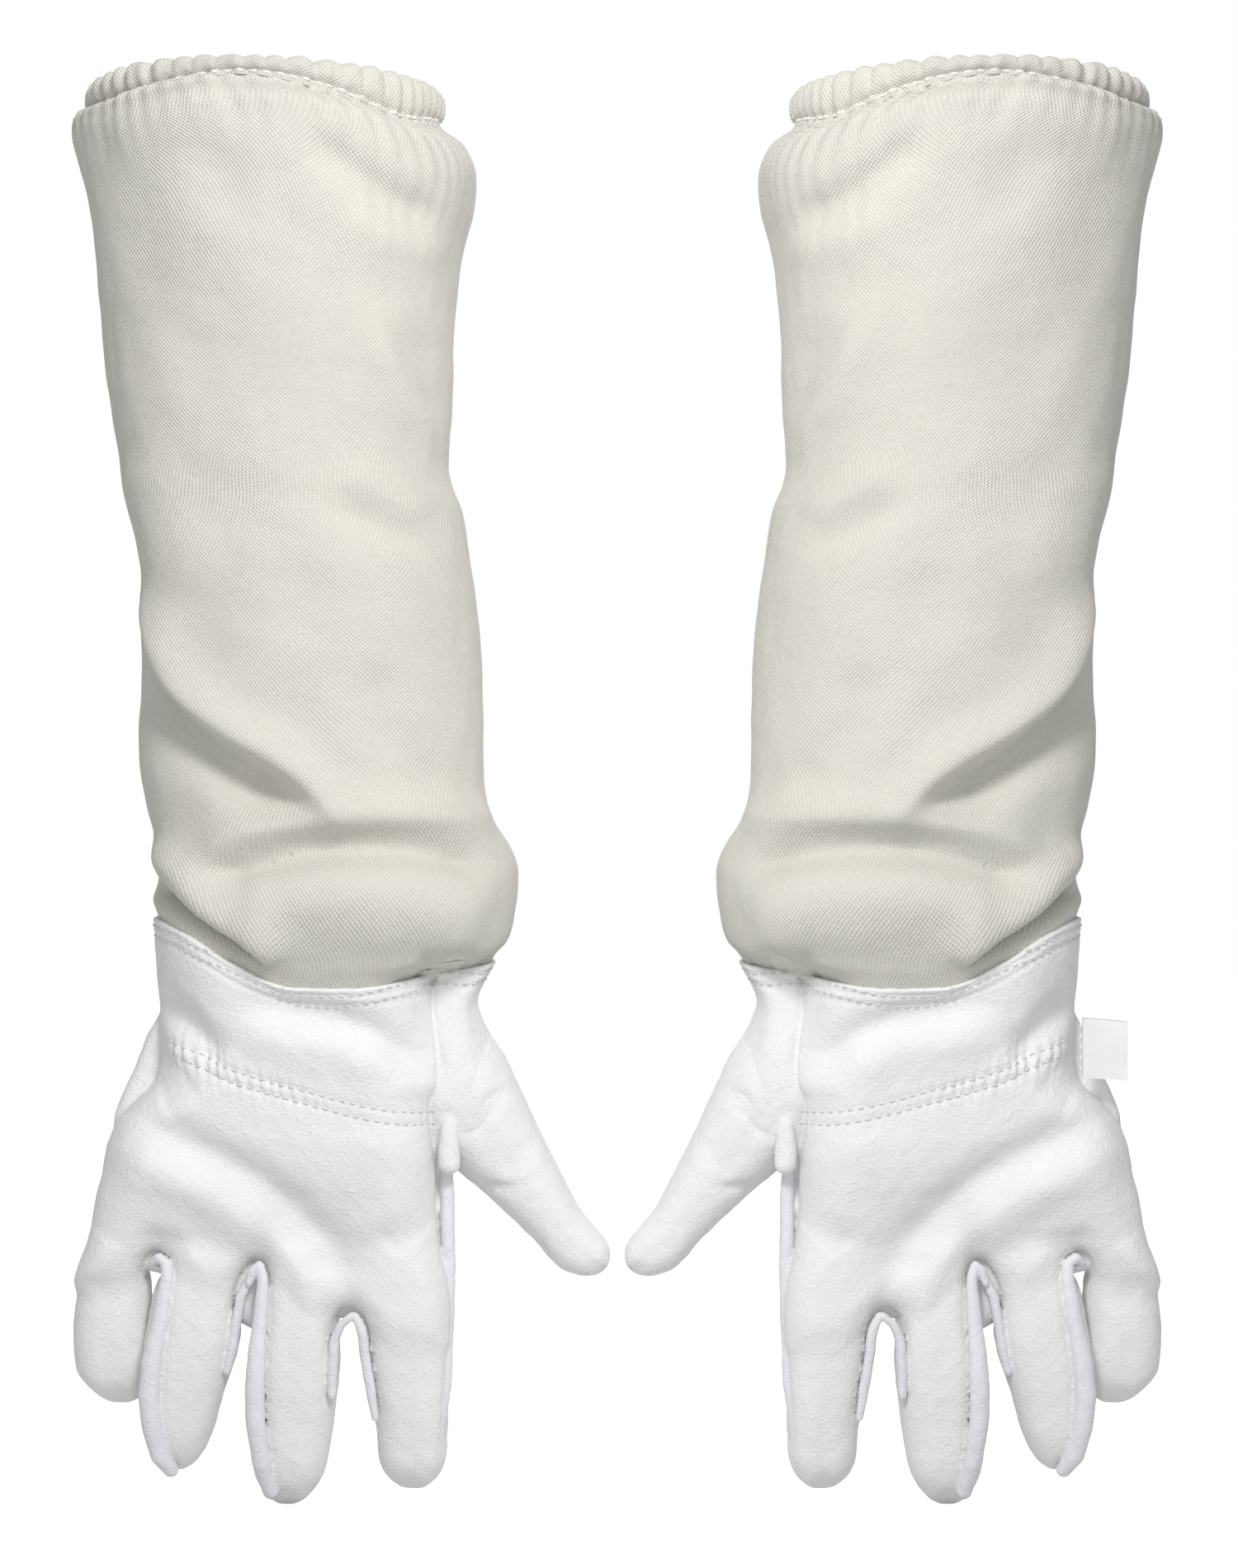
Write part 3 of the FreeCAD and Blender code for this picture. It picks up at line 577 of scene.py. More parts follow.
def shirring(x, z):
    """Height of the gathered leather round the two wrist rows."""
    d, _ = beside_path(x, z, SHIRR_ROW)
    middle = d + ROW_GAP / 2
    strength = GATHER(x)
    sway = 0.5 * np.sin(x * 0.37 + 1.0)
    pucker = np.sin(2 * math.pi * (x + sway + 0.12 * (z - 155)) / PUCKER_PITCH)
    spread = bell(middle / 9.0) * (0.5 + 0.5 * np.sin(x * 0.9 + 2))
    rows = bell(d / ROW_WIDTH) + bell((d + ROW_GAP) / ROW_WIDTH)
    gathers = strength * pucker * (0.75 * bell(middle / 3.4) + 0.28 * spread)
    return gathers - (0.25 + 0.45 * strength) * rows


def facing(normals, side):
    """1 where a surface faces the palm side (1) or the back of the hand (-1), 0 where it faces away."""
    return smooth_step(0.1, 0.6, side * normals[:, 1])


def displace_hand(points, quads):
    """Adds the soft folds, the shirring and slight unevenness to the hand's and the fingers' surface."""
    n = normals_of(points, quads)
    x, y, z = points.T
    offset = 0.35 * value_noise(points, 24, 11) + 0.12 * value_noise(points, 7, 12)
    offset += (all_folds(x, z, HAND_FOLDS) + shirring(x, z) * (x < SHIRR_ROW[-1][0])) * facing(n, -1)
    offset += all_folds(x, z, PALM_FOLDS) * facing(n, 1)
    for drop in CUFF_ROWS:
        offset -= CUFF_GROOVE * bell((cuff_top(x, y) - z - drop) / CUFF_GROOVE_WIDTH)
    return points + n * offset[:, None]


def displace_thumb(points, quads):
    """Adds the thumb's folds and slight unevenness."""
    n = normals_of(points, quads)
    x, _, z = points.T
    offset = 0.3 * value_noise(points, 20, 13) + 0.12 * value_noise(points, 7, 14)
    offset += all_folds(x, z, THUMB_FOLDS, 0.35) * facing(n, -1)
    return points + n * offset[:, None]


# ---------------- the canvas sleeve

SLEEVE_TOP = 491.5
PALM_SIDE = math.pi / 2  # the angle of the palm side, with 0 the thumb side
SEAM_X, SEAM_LAP = 8.0, 0.7  # the closing seam down the palm side, and how far its lap stands up
SLEEVE_LEFT = curve(
    (176, -44), (200, -46.5), (212, -48), (224, -46.8), (236, -46.5), (247, -49), (259, -51.5),
    (282, -52.6), (317, -52.3), (328, -51.8), (340, -53), (363, -57.8), (386, -61.6), (421, -65.7),
    (456, -69.7), (473, -73.6), (482, -75.4), (486, -75.0), (487.3, -72.5), (488.2, -68.8), (490, -67.6),
)
SLEEVE_RIGHT = curve(
    (176, 62), (190, 68), (200, 75.5), (212, 79.3), (224, 80), (235, 76.4), (243, 71.5), (250, 69),
    (282, 67.7), (317, 65.7), (340, 62.2), (352, 59.9), (361, 56.5), (368, 55.2), (386, 57), (421, 57.6),
    (444, 60.2), (458, 64), (468, 65.2), (477, 63.2), (482, 59.5), (486, 52.8), (490, 50.6),
)
SLEEVE_DEEP = curve(
    (176, 36), (195, 41), (212, 47), (224, 50), (240, 47), (270, 50), (330, 52), (380, 52), (430, 56),
    (470, 63), (479, 64), (485, 61), (490, 59.4),
)
SLEEVE_COLUMNS, SLEEVE_ROWS = 320, 260
ROW_SPREAD = 1.25  # rows stand closer together towards the arm opening, where the gathers are
FOLD_DEPTH = 1.3
CANVAS = 1.0  # thickness
SLEEVE_TUCK = 7.0  # canvas below the leather's upper edge
CUFF_LEVEL = 200.0  # about the height of that edge
CUFF_GRIP = (-1.0, 7.0)  # the canvas comes free of the leather between these heights above the edge
SLEEVE_SQUARE = curve((176, 2.3), (420, 2.25), (484, 2.0))  # exponent of the section: 2 is an ellipse

# The deep fold under the droop, from the outer side down to the cuff.
CREVICE = ((-56, 233), (-45, 222.3), (-26.5, 209.8), (-12, 201.5), (-1.7, 192.2))
SLEEVE_FOLDS = (
    # the front sheet's overlapping edge, from the outer side down towards the thumb
    (((-52, 328), (-44, 310), (-36, 291), (-20, 276), (0, 264), (13, 254), (22, 243), (26, 235)),
     5.0, 9, 3.8),
    (((-58, 322), (-50, 304), (-42, 286), (-26, 269), (-8, 257), (6, 249), (15, 241)), -7.0, 4.5, 10),
    # the droop's lower edge over the deep crevice
    (((-50, 237), (-40, 229.5), (-22, 214), (-8, 205), (1, 197), (4, 190)), 5.0, 9, 3.0),
    (CREVICE, -9.0, 2.4, 4.5),
    (((-52, 217), (-43, 215), (-22, 203.5), (-6, 191)), 3.0, 4, 4),
    # ridge over the puff and the shallow valley under it
    (((-32, 228), (-8, 239), (16, 243), (42, 244), (78, 240)), 3.6, 8, 4, 0.15),
    (((-30, 222), (-4, 231.5), (20, 236.5), (46, 236), (78, 226)), -5.4, 3.4, 7.5, 0.15),
    (((-16, 212), (14, 216), (46, 214), (74, 210)), 3.6, 9, 11, 0.15),
    (((46, 197), (58, 196), (66, 199)), -3.0, 4, 3),
    # small crease on the thumb side, and soft hollows
    (((14, 352), (30, 345), (46, 337), (58, 333)), -2.8, 9, 4, 0.45),
    (((20, 362), (36, 354), (52, 344)), 1.6, 9, 6),
    (((24, 425), (36, 400), (48, 378), (57, 358)), 2.2, 8, 6, 0.4),
    (((44, 420), (52, 396), (60, 372)), -1.8, 7, 8, 0.4),
    (((26, 334), (10, 318), (-6, 300)), -1.8, 12, 12, 0.45),
    (((-14, 380), (-22, 410), (-20, 440)), -1.4, 16, 16, 0.45),
    (((-26, 450), (-46, 420), (-60, 390)), -1.6, 16, 16, 0.45),
    (((-28, 474), (-20, 460), (-4, 436)), -1.5, 9, 11, 0.45),
    (((-40, 376), (-20, 356), (-6, 330)), -1.6, 12, 12, 0.45),
    (((-58, 372), (-40, 340), (-20, 318)), 2.2, 12, 12),
    (((10, 470), (24, 462), (40, 455), (60, 452)), -2.8, 6, 8),
    (((20, 446), (36, 440), (58, 440)), 1.8, 8, 10),
    (((-60, 470), (-40, 474), (-10, 480)), 2.0, 8, 10),
    (((30, 300), (40, 270), (60, 250)), -1.6, 8, 8),
)
SLEEVE_PALM_FOLDS = (
    (((-50, 300), (-10, 285), (30, 262), (62, 250)), -6.0, 5, 9),
    (((-50, 312), (-10, 298), (30, 276)), 4.0, 9, 5),
    (((60, 235), (20, 226), (-30, 238)), -7.0, 5, 6),
    (((64, 219), (20, 209), (-34, 222)), 5.0, 8, 8),
    (((-56, 400), (-20, 380), (20, 372)), -3.0, 9, 10),
    (((50, 430), (20, 410), (-10, 402)), -3.2, 10, 9),
    (((-30, 350), (10, 332), (50, 330)), -3.6, 7, 8),
)


def sleeve_section(angle, z):
    """x, y of the plain sleeve at an angle (0 the thumb side, -90 degrees the back of the arm)."""
    left, right, deep = SLEEVE_LEFT(z), SLEEVE_RIGHT(z), SLEEVE_DEEP(z)
    c, s = np.cos(angle), np.sin(angle)
    square = SLEEVE_SQUARE(z)
    size = (abs(c) ** square + abs(s) ** square) ** (-1 / square)
    return (left + right) / 2 + (right - left) / 2 * c * size, deep * s * size


def grid_quads(rows, columns, closed=True):
    """Quads over a grid of points stored row by row; a closed grid joins its last column to its first."""
    r = np.arange(rows - 1)[:, None]
    c = np.arange(columns if closed else columns - 1)[None, :]
    n = (c + 1) % columns
    a, b = r * columns + c, r * columns + n
    return np.stack([a, b, b + columns, a + columns], -1).reshape(-1, 4)


def relaxed(grid, rounds):
    """A grid of heights, closed along its rows, averaged with its neighbours a few times."""
    for _ in range(rounds):
        above, below = np.vstack([grid[:1], grid[:-1]]), np.vstack([grid[1:], grid[-1:]])
        grid = (2 * grid + above + below + np.roll(grid, 1, 1) + np.roll(grid, -1, 1)) / 6
    return grid


def plain_sleeve():
    """The sleeve before it folds, as a grid: turn from the seam, angle, share of the height, points."""
    turn = np.linspace(0, 2 * math.pi, SLEEVE_COLUMNS, endpoint=False)
    turn, share = np.meshgrid(turn, 1 - np.linspace(1, 0, SLEEVE_ROWS) ** ROW_SPREAD)
    turn, share = turn.ravel(), share.ravel()
    bottom = cuff_top(*sleeve_section(turn + PALM_SIDE, np.full(len(turn), CUFF_LEVEL))) - SLEEVE_TUCK
    z = bottom + (SLEEVE_TOP - bottom) * share
    middle, half = (SLEEVE_LEFT(z) + SLEEVE_RIGHT(z)) / 2, (SLEEVE_RIGHT(z) - SLEEVE_LEFT(z)) / 2
    angle = turn + PALM_SIDE - np.arcsin((SEAM_X - middle) / half)
    x, y = sleeve_section(angle, z)
    return turn, angle, share, np.stack([x, y, z], 1).astype(float)


def sleeve_offset(points, angle, back, palm):
    """How far the folds, the seam's lap and the hem's gathers move the canvas outwards."""
    x, _, z = points.T
    offset = FOLD_DEPTH * all_folds(x, z, SLEEVE_FOLDS) * back + all_folds(x, z, SLEEVE_PALM_FOLDS) * palm
    offset = relaxed(offset.reshape(SLEEVE_ROWS, SLEEVE_COLUMNS), 3).ravel()
    offset += 0.7 * value_noise(points, 45, 3) + 0.25 * value_noise(points, 16, 4)
    offset += SEAM_LAP * (1 - smooth_step(2.6, 4.6, abs(x - SEAM_X))) * palm
    return offset + hem_gather(angle, z)


def droop(x, z):
    """How far the canvas hangs down beside the deep crevice and on the puff above the cuff."""
    beside, share = beside_path(x, z, CREVICE)
    lip = bell((beside - 3) / 4.5) * smooth_step(0, 0.25, share) * smooth_step(0, 0.1, 1 - share)
    return 3.2 * lip + 2.0 * bell((z - 204) / 9) * smooth_step(-5, 12, x)


def tuck(points, above):
    """Holds the canvas's lower end just inside the leather cuff."""
    low = above < 10
    level = -2.0 + 0.6 * np.minimum(above[low], 0)
    hand = leather_distance(tuple(FINGERS), open_top=True)
    inside = settle(hand, points[low], level, rounds=4, limit=6.0)
    inside[:, 2] = points[low][:, 2]
    held = (1 - smooth_step(*CUFF_GRIP, above[low]))[:, None]
    points[low] = points[low] * (1 - held) + inside * held


def sleeve_points():
    """The sleeve's folded surface as a grid, with cloth coordinates in mm."""
    turn, angle, share, p = plain_sleeve()
    quads = grid_quads(SLEEVE_ROWS, SLEEVE_COLUMNS)
    x, y, z = p.T.copy()
    n = normals_of(p, quads)
    back, palm = smooth_step(-0.1, 0.45, -n[:, 1]), smooth_step(-0.1, 0.45, n[:, 1])
    above = z - cuff_top(x, y)
    free = smooth_step(*CUFF_GRIP, above)
    p += n * (sleeve_offset(p, angle, back, palm) * free)[:, None]
    p[:, 2] -= droop(x, z) * back * free
    tuck(p, above)
    p[:, 2] += (foot_height(angle) - HEM_ROW_Z) * smooth_step(0.72, 1.0, share)
    uv = np.stack([turn * CLOTH_RADIUS, z], 1)
    uv += 5.0 * np.stack([value_noise(p, 110, 5), value_noise(p, 90, 6)], 1)
    return p, quads, uv


def inner_sheet(sleeve):
    """The sleeve's inside face: every second point, moved inwards by the canvas's thickness."""
    points, _, uv = sleeve
    grid = points.reshape(SLEEVE_ROWS, SLEEVE_COLUMNS, 3)[::2, ::2]
    flat = grid.reshape(-1, 3)
    quads = grid_quads(*grid.shape[:2])
    cloth = uv.reshape(SLEEVE_ROWS, SLEEVE_COLUMNS, 2)[::2, ::2].reshape(-1, 2)
    return flat - normals_of(flat, quads) * CANVAS, quads[:, ::-1], cloth


# ---------------- the gathers and the hem's casing

PLEATS = 54
PLEAT_TOP = 487.0  # the pleats are at full depth from here up
HEM_X, HEM_RADIUS = -8.6, 59.6
HEM_ROW_Z, HEM_TOP = 488.6, 498.3
HEM_LOBES = 47
HEM_STEPS, HEM_COLUMNS = 44, 480
# Section from the outer foot over the top to the inner foot: out from the hem's radius, and height.
HEM_SECTION = (
    (0.4, 485.6), (0.7, 487.2), (0.3, 488.6), (1.5, 490.0), (2.3, 492.4), (2.4, 494.8), (1.7, 497.0),
    (0.2, 498.3), (-1.6, 498.4), (-3.0, 497.2), (-3.8, 494.6), (-4.0, 491.0), (-3.6, 487.5),
    (-3.4, 483.0),
)


def foot_height(angle):
    """Height of the hem's stitches: pulled up by the gathers at the front, down beside the thumb side."""
    turn = np.degrees(angle)

    def near(middle, width):
        return bell(((turn - middle + 180) % 360 - 180) / width)

    return HEM_ROW_Z + 4.6 * near(-92, 28) - 5.0 * near(-35, 22) + 2.0 * near(80, 40)


def pleat_wave(angle):
    """Uneven gathers round the arm opening, -1 to 1."""
    sway = 0.35 * np.sin(3 * angle + 0.7) + 0.25 * np.sin(7 * angle + 2.1)
    return np.sin(PLEATS * angle + sway * 2.5) * (0.75 + 0.25 * np.sin(11 * angle + 1.0))


def hem_gather(angle, z):
    """Pleats run down from the hem's stitches; they are deepest and longest on the thumb side."""
    thumb_side = bell((np.cos(angle) - 0.66) / 0.24)
    fall = np.exp(-np.maximum(PLEAT_TOP - z, 0) / (9 + 15 * thumb_side))
    return (0.7 + 0.7 * thumb_side) * pleat_wave(angle) * fall


def hem_lobe(angle):
    """Uneven bulges round the hem, -1 to 1, with a crease between each two."""
    sway = 0.9 * np.sin(2 * angle + 0.4) + 0.6 * np.sin(5 * angle + 1.9) + 0.35 * np.sin(13 * angle)
    wave = np.sin(HEM_LOBES * angle / 2 + sway)
    return (2 * abs(wave) ** 0.8 - 1) * (0.7 + 0.3 * np.sin(9 * angle) * np.sin(4 * angle + 1))


def hem_points():
    """The casing: a folded-over band of canvas, gathered by the elastic inside it."""
    spread = smooth_path(HEM_SECTION, HEM_STEPS)
    angle = np.linspace(0, 2 * math.pi, HEM_COLUMNS, endpoint=False)
    out, height = spread[:, :1], spread[:, 1:]
    full = smooth_step(HEM_ROW_Z, HEM_ROW_Z + 4.4, height)
    lobe, gather = hem_lobe(angle)[None, :], pleat_wave(angle)[None, :]
    r = HEM_RADIUS + out + lobe * (0.3 + 0.75 * full) + gather * (0.8 - 0.35 * full)
    drop = (HEM_TOP - foot_height(angle)[None, :]) / (HEM_TOP - HEM_ROW_Z)
    wave = 0.8 * lobe - 0.7 + 0.4 * np.sin(3 * angle + 1)[None, :]
    z = HEM_TOP - (HEM_TOP - height) * drop + full * wave
    x, y = HEM_X + r * np.cos(angle), r * np.sin(angle)
    p = np.stack([x, y, z], -1).reshape(-1, 3)
    along = np.concatenate([[0], np.cumsum(np.hypot(*np.diff(spread, axis=0).T))])
    uv = np.stack(np.broadcast_arrays(angle[None, :] * CLOTH_RADIUS, along[:, None]), -1).reshape(-1, 2)
    return p, grid_quads(HEM_STEPS, HEM_COLUMNS), uv


# ---------------- sewing

# Each kind of stitch: its length, the distance to the next one, and the thread's radius.
SEAM_STITCH = dict(dash=2.9, pitch=4.1, radius=0.42)
CUFF_STITCH = dict(dash=2.3, pitch=3.4, radius=0.34)
WRIST_STITCH = dict(dash=2.4, pitch=3.6, radius=0.34)
HEM_STITCH = dict(dash=3.1, pitch=4.6, radius=0.5)
LABEL_STITCH = dict(dash=2.2, pitch=3.4, radius=0.3)
DASH_RINGS, DASH_SIDES = 7, 8
CUFF_MIDDLE, CUFF_HALF_WIDTH, CUFF_HALF_DEPTH = 12.0, 58, 40
SEAM_ROW_OFFSET, SEAM_ROW_LOW, SEAM_ROW_HIGH = 2.5, 214, 474
FAR, ROUND_FAR = 150.0, 90.0  # rays that look for a surface start this far in front, or round the arm


def surface_tree(points, quads):
    return BVHTree.FromPolygons(np.asarray(points).tolist(), np.asarray(quads).tolist())


def shine(tree, origins, directions):
    """Where rays first meet a surface: (points, normals), leaving out those that miss."""
    hits = [tree.ray_cast(Vector(o), Vector(d)) for o, d in zip(origins, directions)]
    hits = [(p, n) for p, n, _, _ in hits if p is not None]
    return np.array([p for p, _ in hits]), np.array([n for _, n in hits])


def dashes(points, normals, dash, pitch, radius, closed=False):
    """Stitches laid along a line on a surface: short rounded threads that dip at both ends."""
    if closed:
        points, normals = np.vstack([points, points[:1]]), np.vstack([normals, normals[:1]])
    along = np.concatenate([[0], np.cumsum(np.linalg.norm(np.diff(points, axis=0), axis=1))])

    def at(values, where):
        return np.stack([np.interp(where, along, values[:, i]) for i in range(3)], 1)

    stitches = []
    ring = np.linspace(0, 2 * math.pi, DASH_SIDES, endpoint=False)
    share = np.linspace(-1, 1, DASH_RINGS)
    thick = radius * np.sqrt(np.maximum(1 - share**4, LEAST))
    count = int(along[-1] / pitch)
    for k in range(count):
        middle = (k + 0.5) * along[-1] / count
        where = np.clip(middle + share * dash / 2, 0, along[-1])
        p, n = at(points, where), at(normals, where)
        n /= np.linalg.norm(n, axis=1, keepdims=True)
        t = np.gradient(p, axis=0)
        t /= np.linalg.norm(t, axis=1, keepdims=True)
        b = np.cross(t, n)
        p = p + n * (radius * (0.75 - 1.3 * share**4))[:, None]
        turn = np.cos(ring)[None, :, None] * b[:, None] + np.sin(ring)[None, :, None] * n[:, None]
        loop = p[:, None] + thick[:, None, None] * turn
        stitches.append((loop.reshape(-1, 3), grid_quads(DASH_RINGS, DASH_SIDES)))
    return join(*stitches)


def join(*parts):
    """Several (points, quads) as one."""
    total, verts, faces = 0, [], []
    for p, q in parts:
        verts.append(p)
        faces.append(q + total)
        total += len(p)
    return np.concatenate(verts), np.concatenate(faces)


def round_row(tree, middle, angle, height, stitch):
    """A closed stitch row round the arm at the given heights."""
    out = np.stack([np.cos(angle), np.sin(angle), 0 * angle], 1)
    start = np.stack([0 * angle + middle, 0 * angle, height], 1) + out * ROUND_FAR
    return dashes(*shine(tree, start, -out), closed=True, **stitch)


def flat_row(tree, x, z, side, stitch):
    """A stitch row drawn on the back of the glove (side -1) or on its palm side (1)."""
    start = np.stack([x, 0 * x + side * FAR, z], 1)
    return dashes(*shine(tree, start, np.tile((0.0, -side, 0.0), (len(x), 1))), **stitch)


def cuff_rows(tree):
    """The stitches that join leather and canvas, at set depths below the leather's edge."""
    angle = np.linspace(0, 2 * math.pi, 400, endpoint=False)
    x, y = CUFF_MIDDLE + CUFF_HALF_WIDTH * np.cos(angle), CUFF_HALF_DEPTH * np.sin(angle)
    edge = cuff_top(x, y)
    return join(*(round_row(tree, CUFF_MIDDLE, angle, edge - drop, CUFF_STITCH) for drop in CUFF_ROWS))


def wrist_rows(tree):
    """The shirring's stitches across the back of the wrist."""
    x, z = smooth_path(SHIRR_ROW, 160).T
    return join(*(flat_row(tree, x, z - drop, -1, WRIST_STITCH) for drop in (0, ROW_GAP)))


def seam_rows(tree):
    """The closing seam's stitches down the palm side of the sleeve."""
    z = np.linspace(SEAM_ROW_LOW, SEAM_ROW_HIGH, 200)
    places = (SEAM_X - SEAM_ROW_OFFSET, SEAM_X + SEAM_ROW_OFFSET)
    return join(*(flat_row(tree, 0 * z + x, z, 1, SEAM_STITCH) for x in places))


def hem_row(tree):
    """The hem's stitches, over the gathered foot of the casing."""
    angle = np.linspace(0, 2 * math.pi, 900, endpoint=False)
    return round_row(tree, HEM_X, angle, foot_height(angle), HEM_STITCH)


# ---------------- the size label

LABEL_TOP, LABEL_FOOT = 175.2, 154.4
LABEL_INNER, LABEL_OUTER = -45.6, -61.0
LABEL_Y = -18.4
LABEL_DROP, LABEL_CURL = 1.2, 2.6  # how far its free edge hangs down and turns away from the glove
LABEL_COLUMNS, LABEL_ROWS = 24, 32


def label_points():
    """A folded tape, sewn by its inner edge and curling a little away from the glove."""
    u, v = np.meshgrid(np.linspace(0, 1, LABEL_COLUMNS), np.linspace(0, 1, LABEL_ROWS))
    u, v = u.ravel(), v.ravel()
    x = LABEL_INNER + (LABEL_OUTER - LABEL_INNER) * u
    z = LABEL_FOOT + (LABEL_TOP - LABEL_FOOT) * v - LABEL_DROP * u
    y = LABEL_Y + 0.9 * np.sin(u * 1.9) - LABEL_CURL * u**2 + 0.35 * np.sin(v * 5 + 1) * u
    rounded = np.sqrt(np.maximum(1 - (2 * v - 1) ** 8, 0)) * np.sqrt(np.maximum(1 - (2 * u - 1) ** 8, 0))
    thick = 0.35 + 0.25 * rounded
    front, back = np.stack([x, y - thick, z], 1), np.stack([x, y + thick, z], 1)
    quads = grid_quads(LABEL_ROWS, LABEL_COLUMNS, closed=False)
    index = np.arange(LABEL_ROWS * LABEL_COLUMNS).reshape(LABEL_ROWS, LABEL_COLUMNS)
    edge = np.concatenate([index[0, :-1], index[:-1, -1], index[-1, :0:-1], index[:0:-1, 0]])
    following = np.roll(edge, -1)
    wall = np.stack([edge, edge + len(x), following + len(x), following], 1)
    return np.vstack([front, back]), np.vstack([quads[:, ::-1], quads + len(x), wall])


def label_threads():
    """Stitches through the label's sewn edge into the glove."""
    z = np.linspace(LABEL_FOOT + 1, LABEL_TOP - 1, 40)
    points = np.stack([0 * z + LABEL_INNER + 0.6, 0 * z + LABEL_Y - 0.7, z], 1)
    return dashes(points, np.tile((0.0, -1.0, 0.0), (len(z), 1)), **LABEL_STITCH)


# ---------------- materials

WHITE = (1, 1, 1, 1)
LEATHER, LEATHER_SHADE = (0.78, 0.79, 0.785, 1), (0.73, 0.74, 0.74, 1)
STRIP, STRIP_SHADE = (0.74, 0.75, 0.78, 1), (0.68, 0.69, 0.73, 1)
YARN, YARN_PALE, YARN_GAP = (0.62, 0.61, 0.555, 1), (0.75, 0.74, 0.68, 1), (0.54, 0.53, 0.485, 1)
CANVAS_WARM, CANVAS_GREY = (0.73, 0.71, 0.635, 1), (0.60, 0.59, 0.545, 1)
FLECK = (0.30, 0.25, 0.20, 1)
THREAD, THREAD_SHADE = (0.84, 0.84, 0.82, 1), (0.74, 0.74, 0.72, 1)
CUFF_THREAD, CUFF_THREAD_SHADE = (0.70, 0.71, 0.72, 1), (0.60, 0.61, 0.63, 1)
RIBBON, RIBBON_SHADE = (0.77, 0.77, 0.77, 1), (0.72, 0.72, 0.73, 1)
PAPER, PAPER_SHADE = (0.95, 0.95, 0.95, 1), (0.93, 0.93, 0.93, 1)
WARP_PITCH, WEFT_PITCH = 1.36, 0.8  # between the canvas's grains, in mm
CLOTH_SWAY, CLOTH_WANDER = 0.5, 0.16  # shares of noise mixed into the cloth coordinates
FLOOR_GLOW = 0.8


class Nodes:
    """A short way to build a material's node tree."""

    def __init__(self, name):
        self.material = bpy.data.materials.new(name)
        self.material.use_nodes = True
        self.tree = self.material.node_tree
        self.shader = self.tree.nodes["Principled BSDF"]

    def fill(self, slot, value):
        """Links a socket into a node's input, or sets the input's value."""
        if isinstance(value, bpy.types.NodeSocket):
            self.tree.links.new(value, slot)
        else:
            slot.default_value = value

    def fill_named(self, node, values):
        for key, value in values.items():
            self.fill(node.inputs[key.replace("_", " ")], value)

    def add(self, kind, outputs=0, **inputs):
        """A new node: its chosen output, or the node itself for None."""
        node = self.tree.nodes.new(kind)
        self.fill_named(node, inputs)
        return node if outputs is None else node.outputs[outputs]

    def math(self, operation, a, b=0.0):
        node = self.tree.nodes.new("ShaderNodeMath")
        node.operation = operation
        self.fill(node.inputs[0], a)
        self.fill(node.inputs[1], b)
        return node.outputs[0]

    def mix(self, share, a, b):
        node = self.tree.nodes.new("ShaderNodeMix")
        node.data_type = "RGBA"
        for slot, value in zip((0, 6, 7), (share, a, b)):
            self.fill(node.inputs[slot], value)
        return node.outputs[2]

    def noise(self, place, scale, detail):
        return self.add("ShaderNodeTexNoise", Vector=place, Scale=scale, Detail=detail)

    def bump(self, height, distance, strength, **below):
        """A bump, laid over another one where Normal is given."""
        return self.add("ShaderNodeBump", Height=height, Distance=distance, Strength=strength, **below)

    def finish(self, color, roughness, normal, **values):
        self.fill_named(self.shader, dict(Base_Color=color, Roughness=roughness, Normal=normal, **values))
        return self.material


def leather_material(name, light, shade, grain):
    """Soft smooth leather: fine pores over soft creases, with a faint change of tone and painted shade in
    the creases' valleys.
    """
    m = Nodes(name)
    place = m.add("ShaderNodeTexCoord", 3)
    tone = m.mix(m.noise(place, 55, 4), shade, light)
    fine = m.noise(place, 1400, 2)
    pores = m.add("ShaderNodeTexVoronoi", Vector=place, Scale=950.0)
    creases = m.add("ShaderNodeTexNoise", Vector=place, Scale=190.0, Detail=4.0, Distortion=1.6)
    wrinkle = m.math("ABSOLUTE", m.math("SUBTRACT", creases, 0.5))
    normal = m.bump(wrinkle, 0.0011, 0.55)
    normal = m.bump(pores, 0.00022 * grain, 0.7, Normal=normal)
    normal = m.bump(fine, 0.00016 * grain, 0.6, Normal=normal)
    rough = m.math("ADD", 0.56, m.math("MULTIPLY", fine, 0.16))
    # painted shade: the colour darkens towards the shade tone in the valleys of the crease bump
    painted_crease_shade = m.math("SUBTRACT", 0.06, m.math("MINIMUM", wrinkle, 0.06))
    color = m.mix(m.math("MULTIPLY", painted_crease_shade, 2.2), tone, shade)
    return m.finish(color, rough, normal, Specular_IOR_Level=0.22, Sheen_Weight=0.06, Sheen_Roughness=0.4)


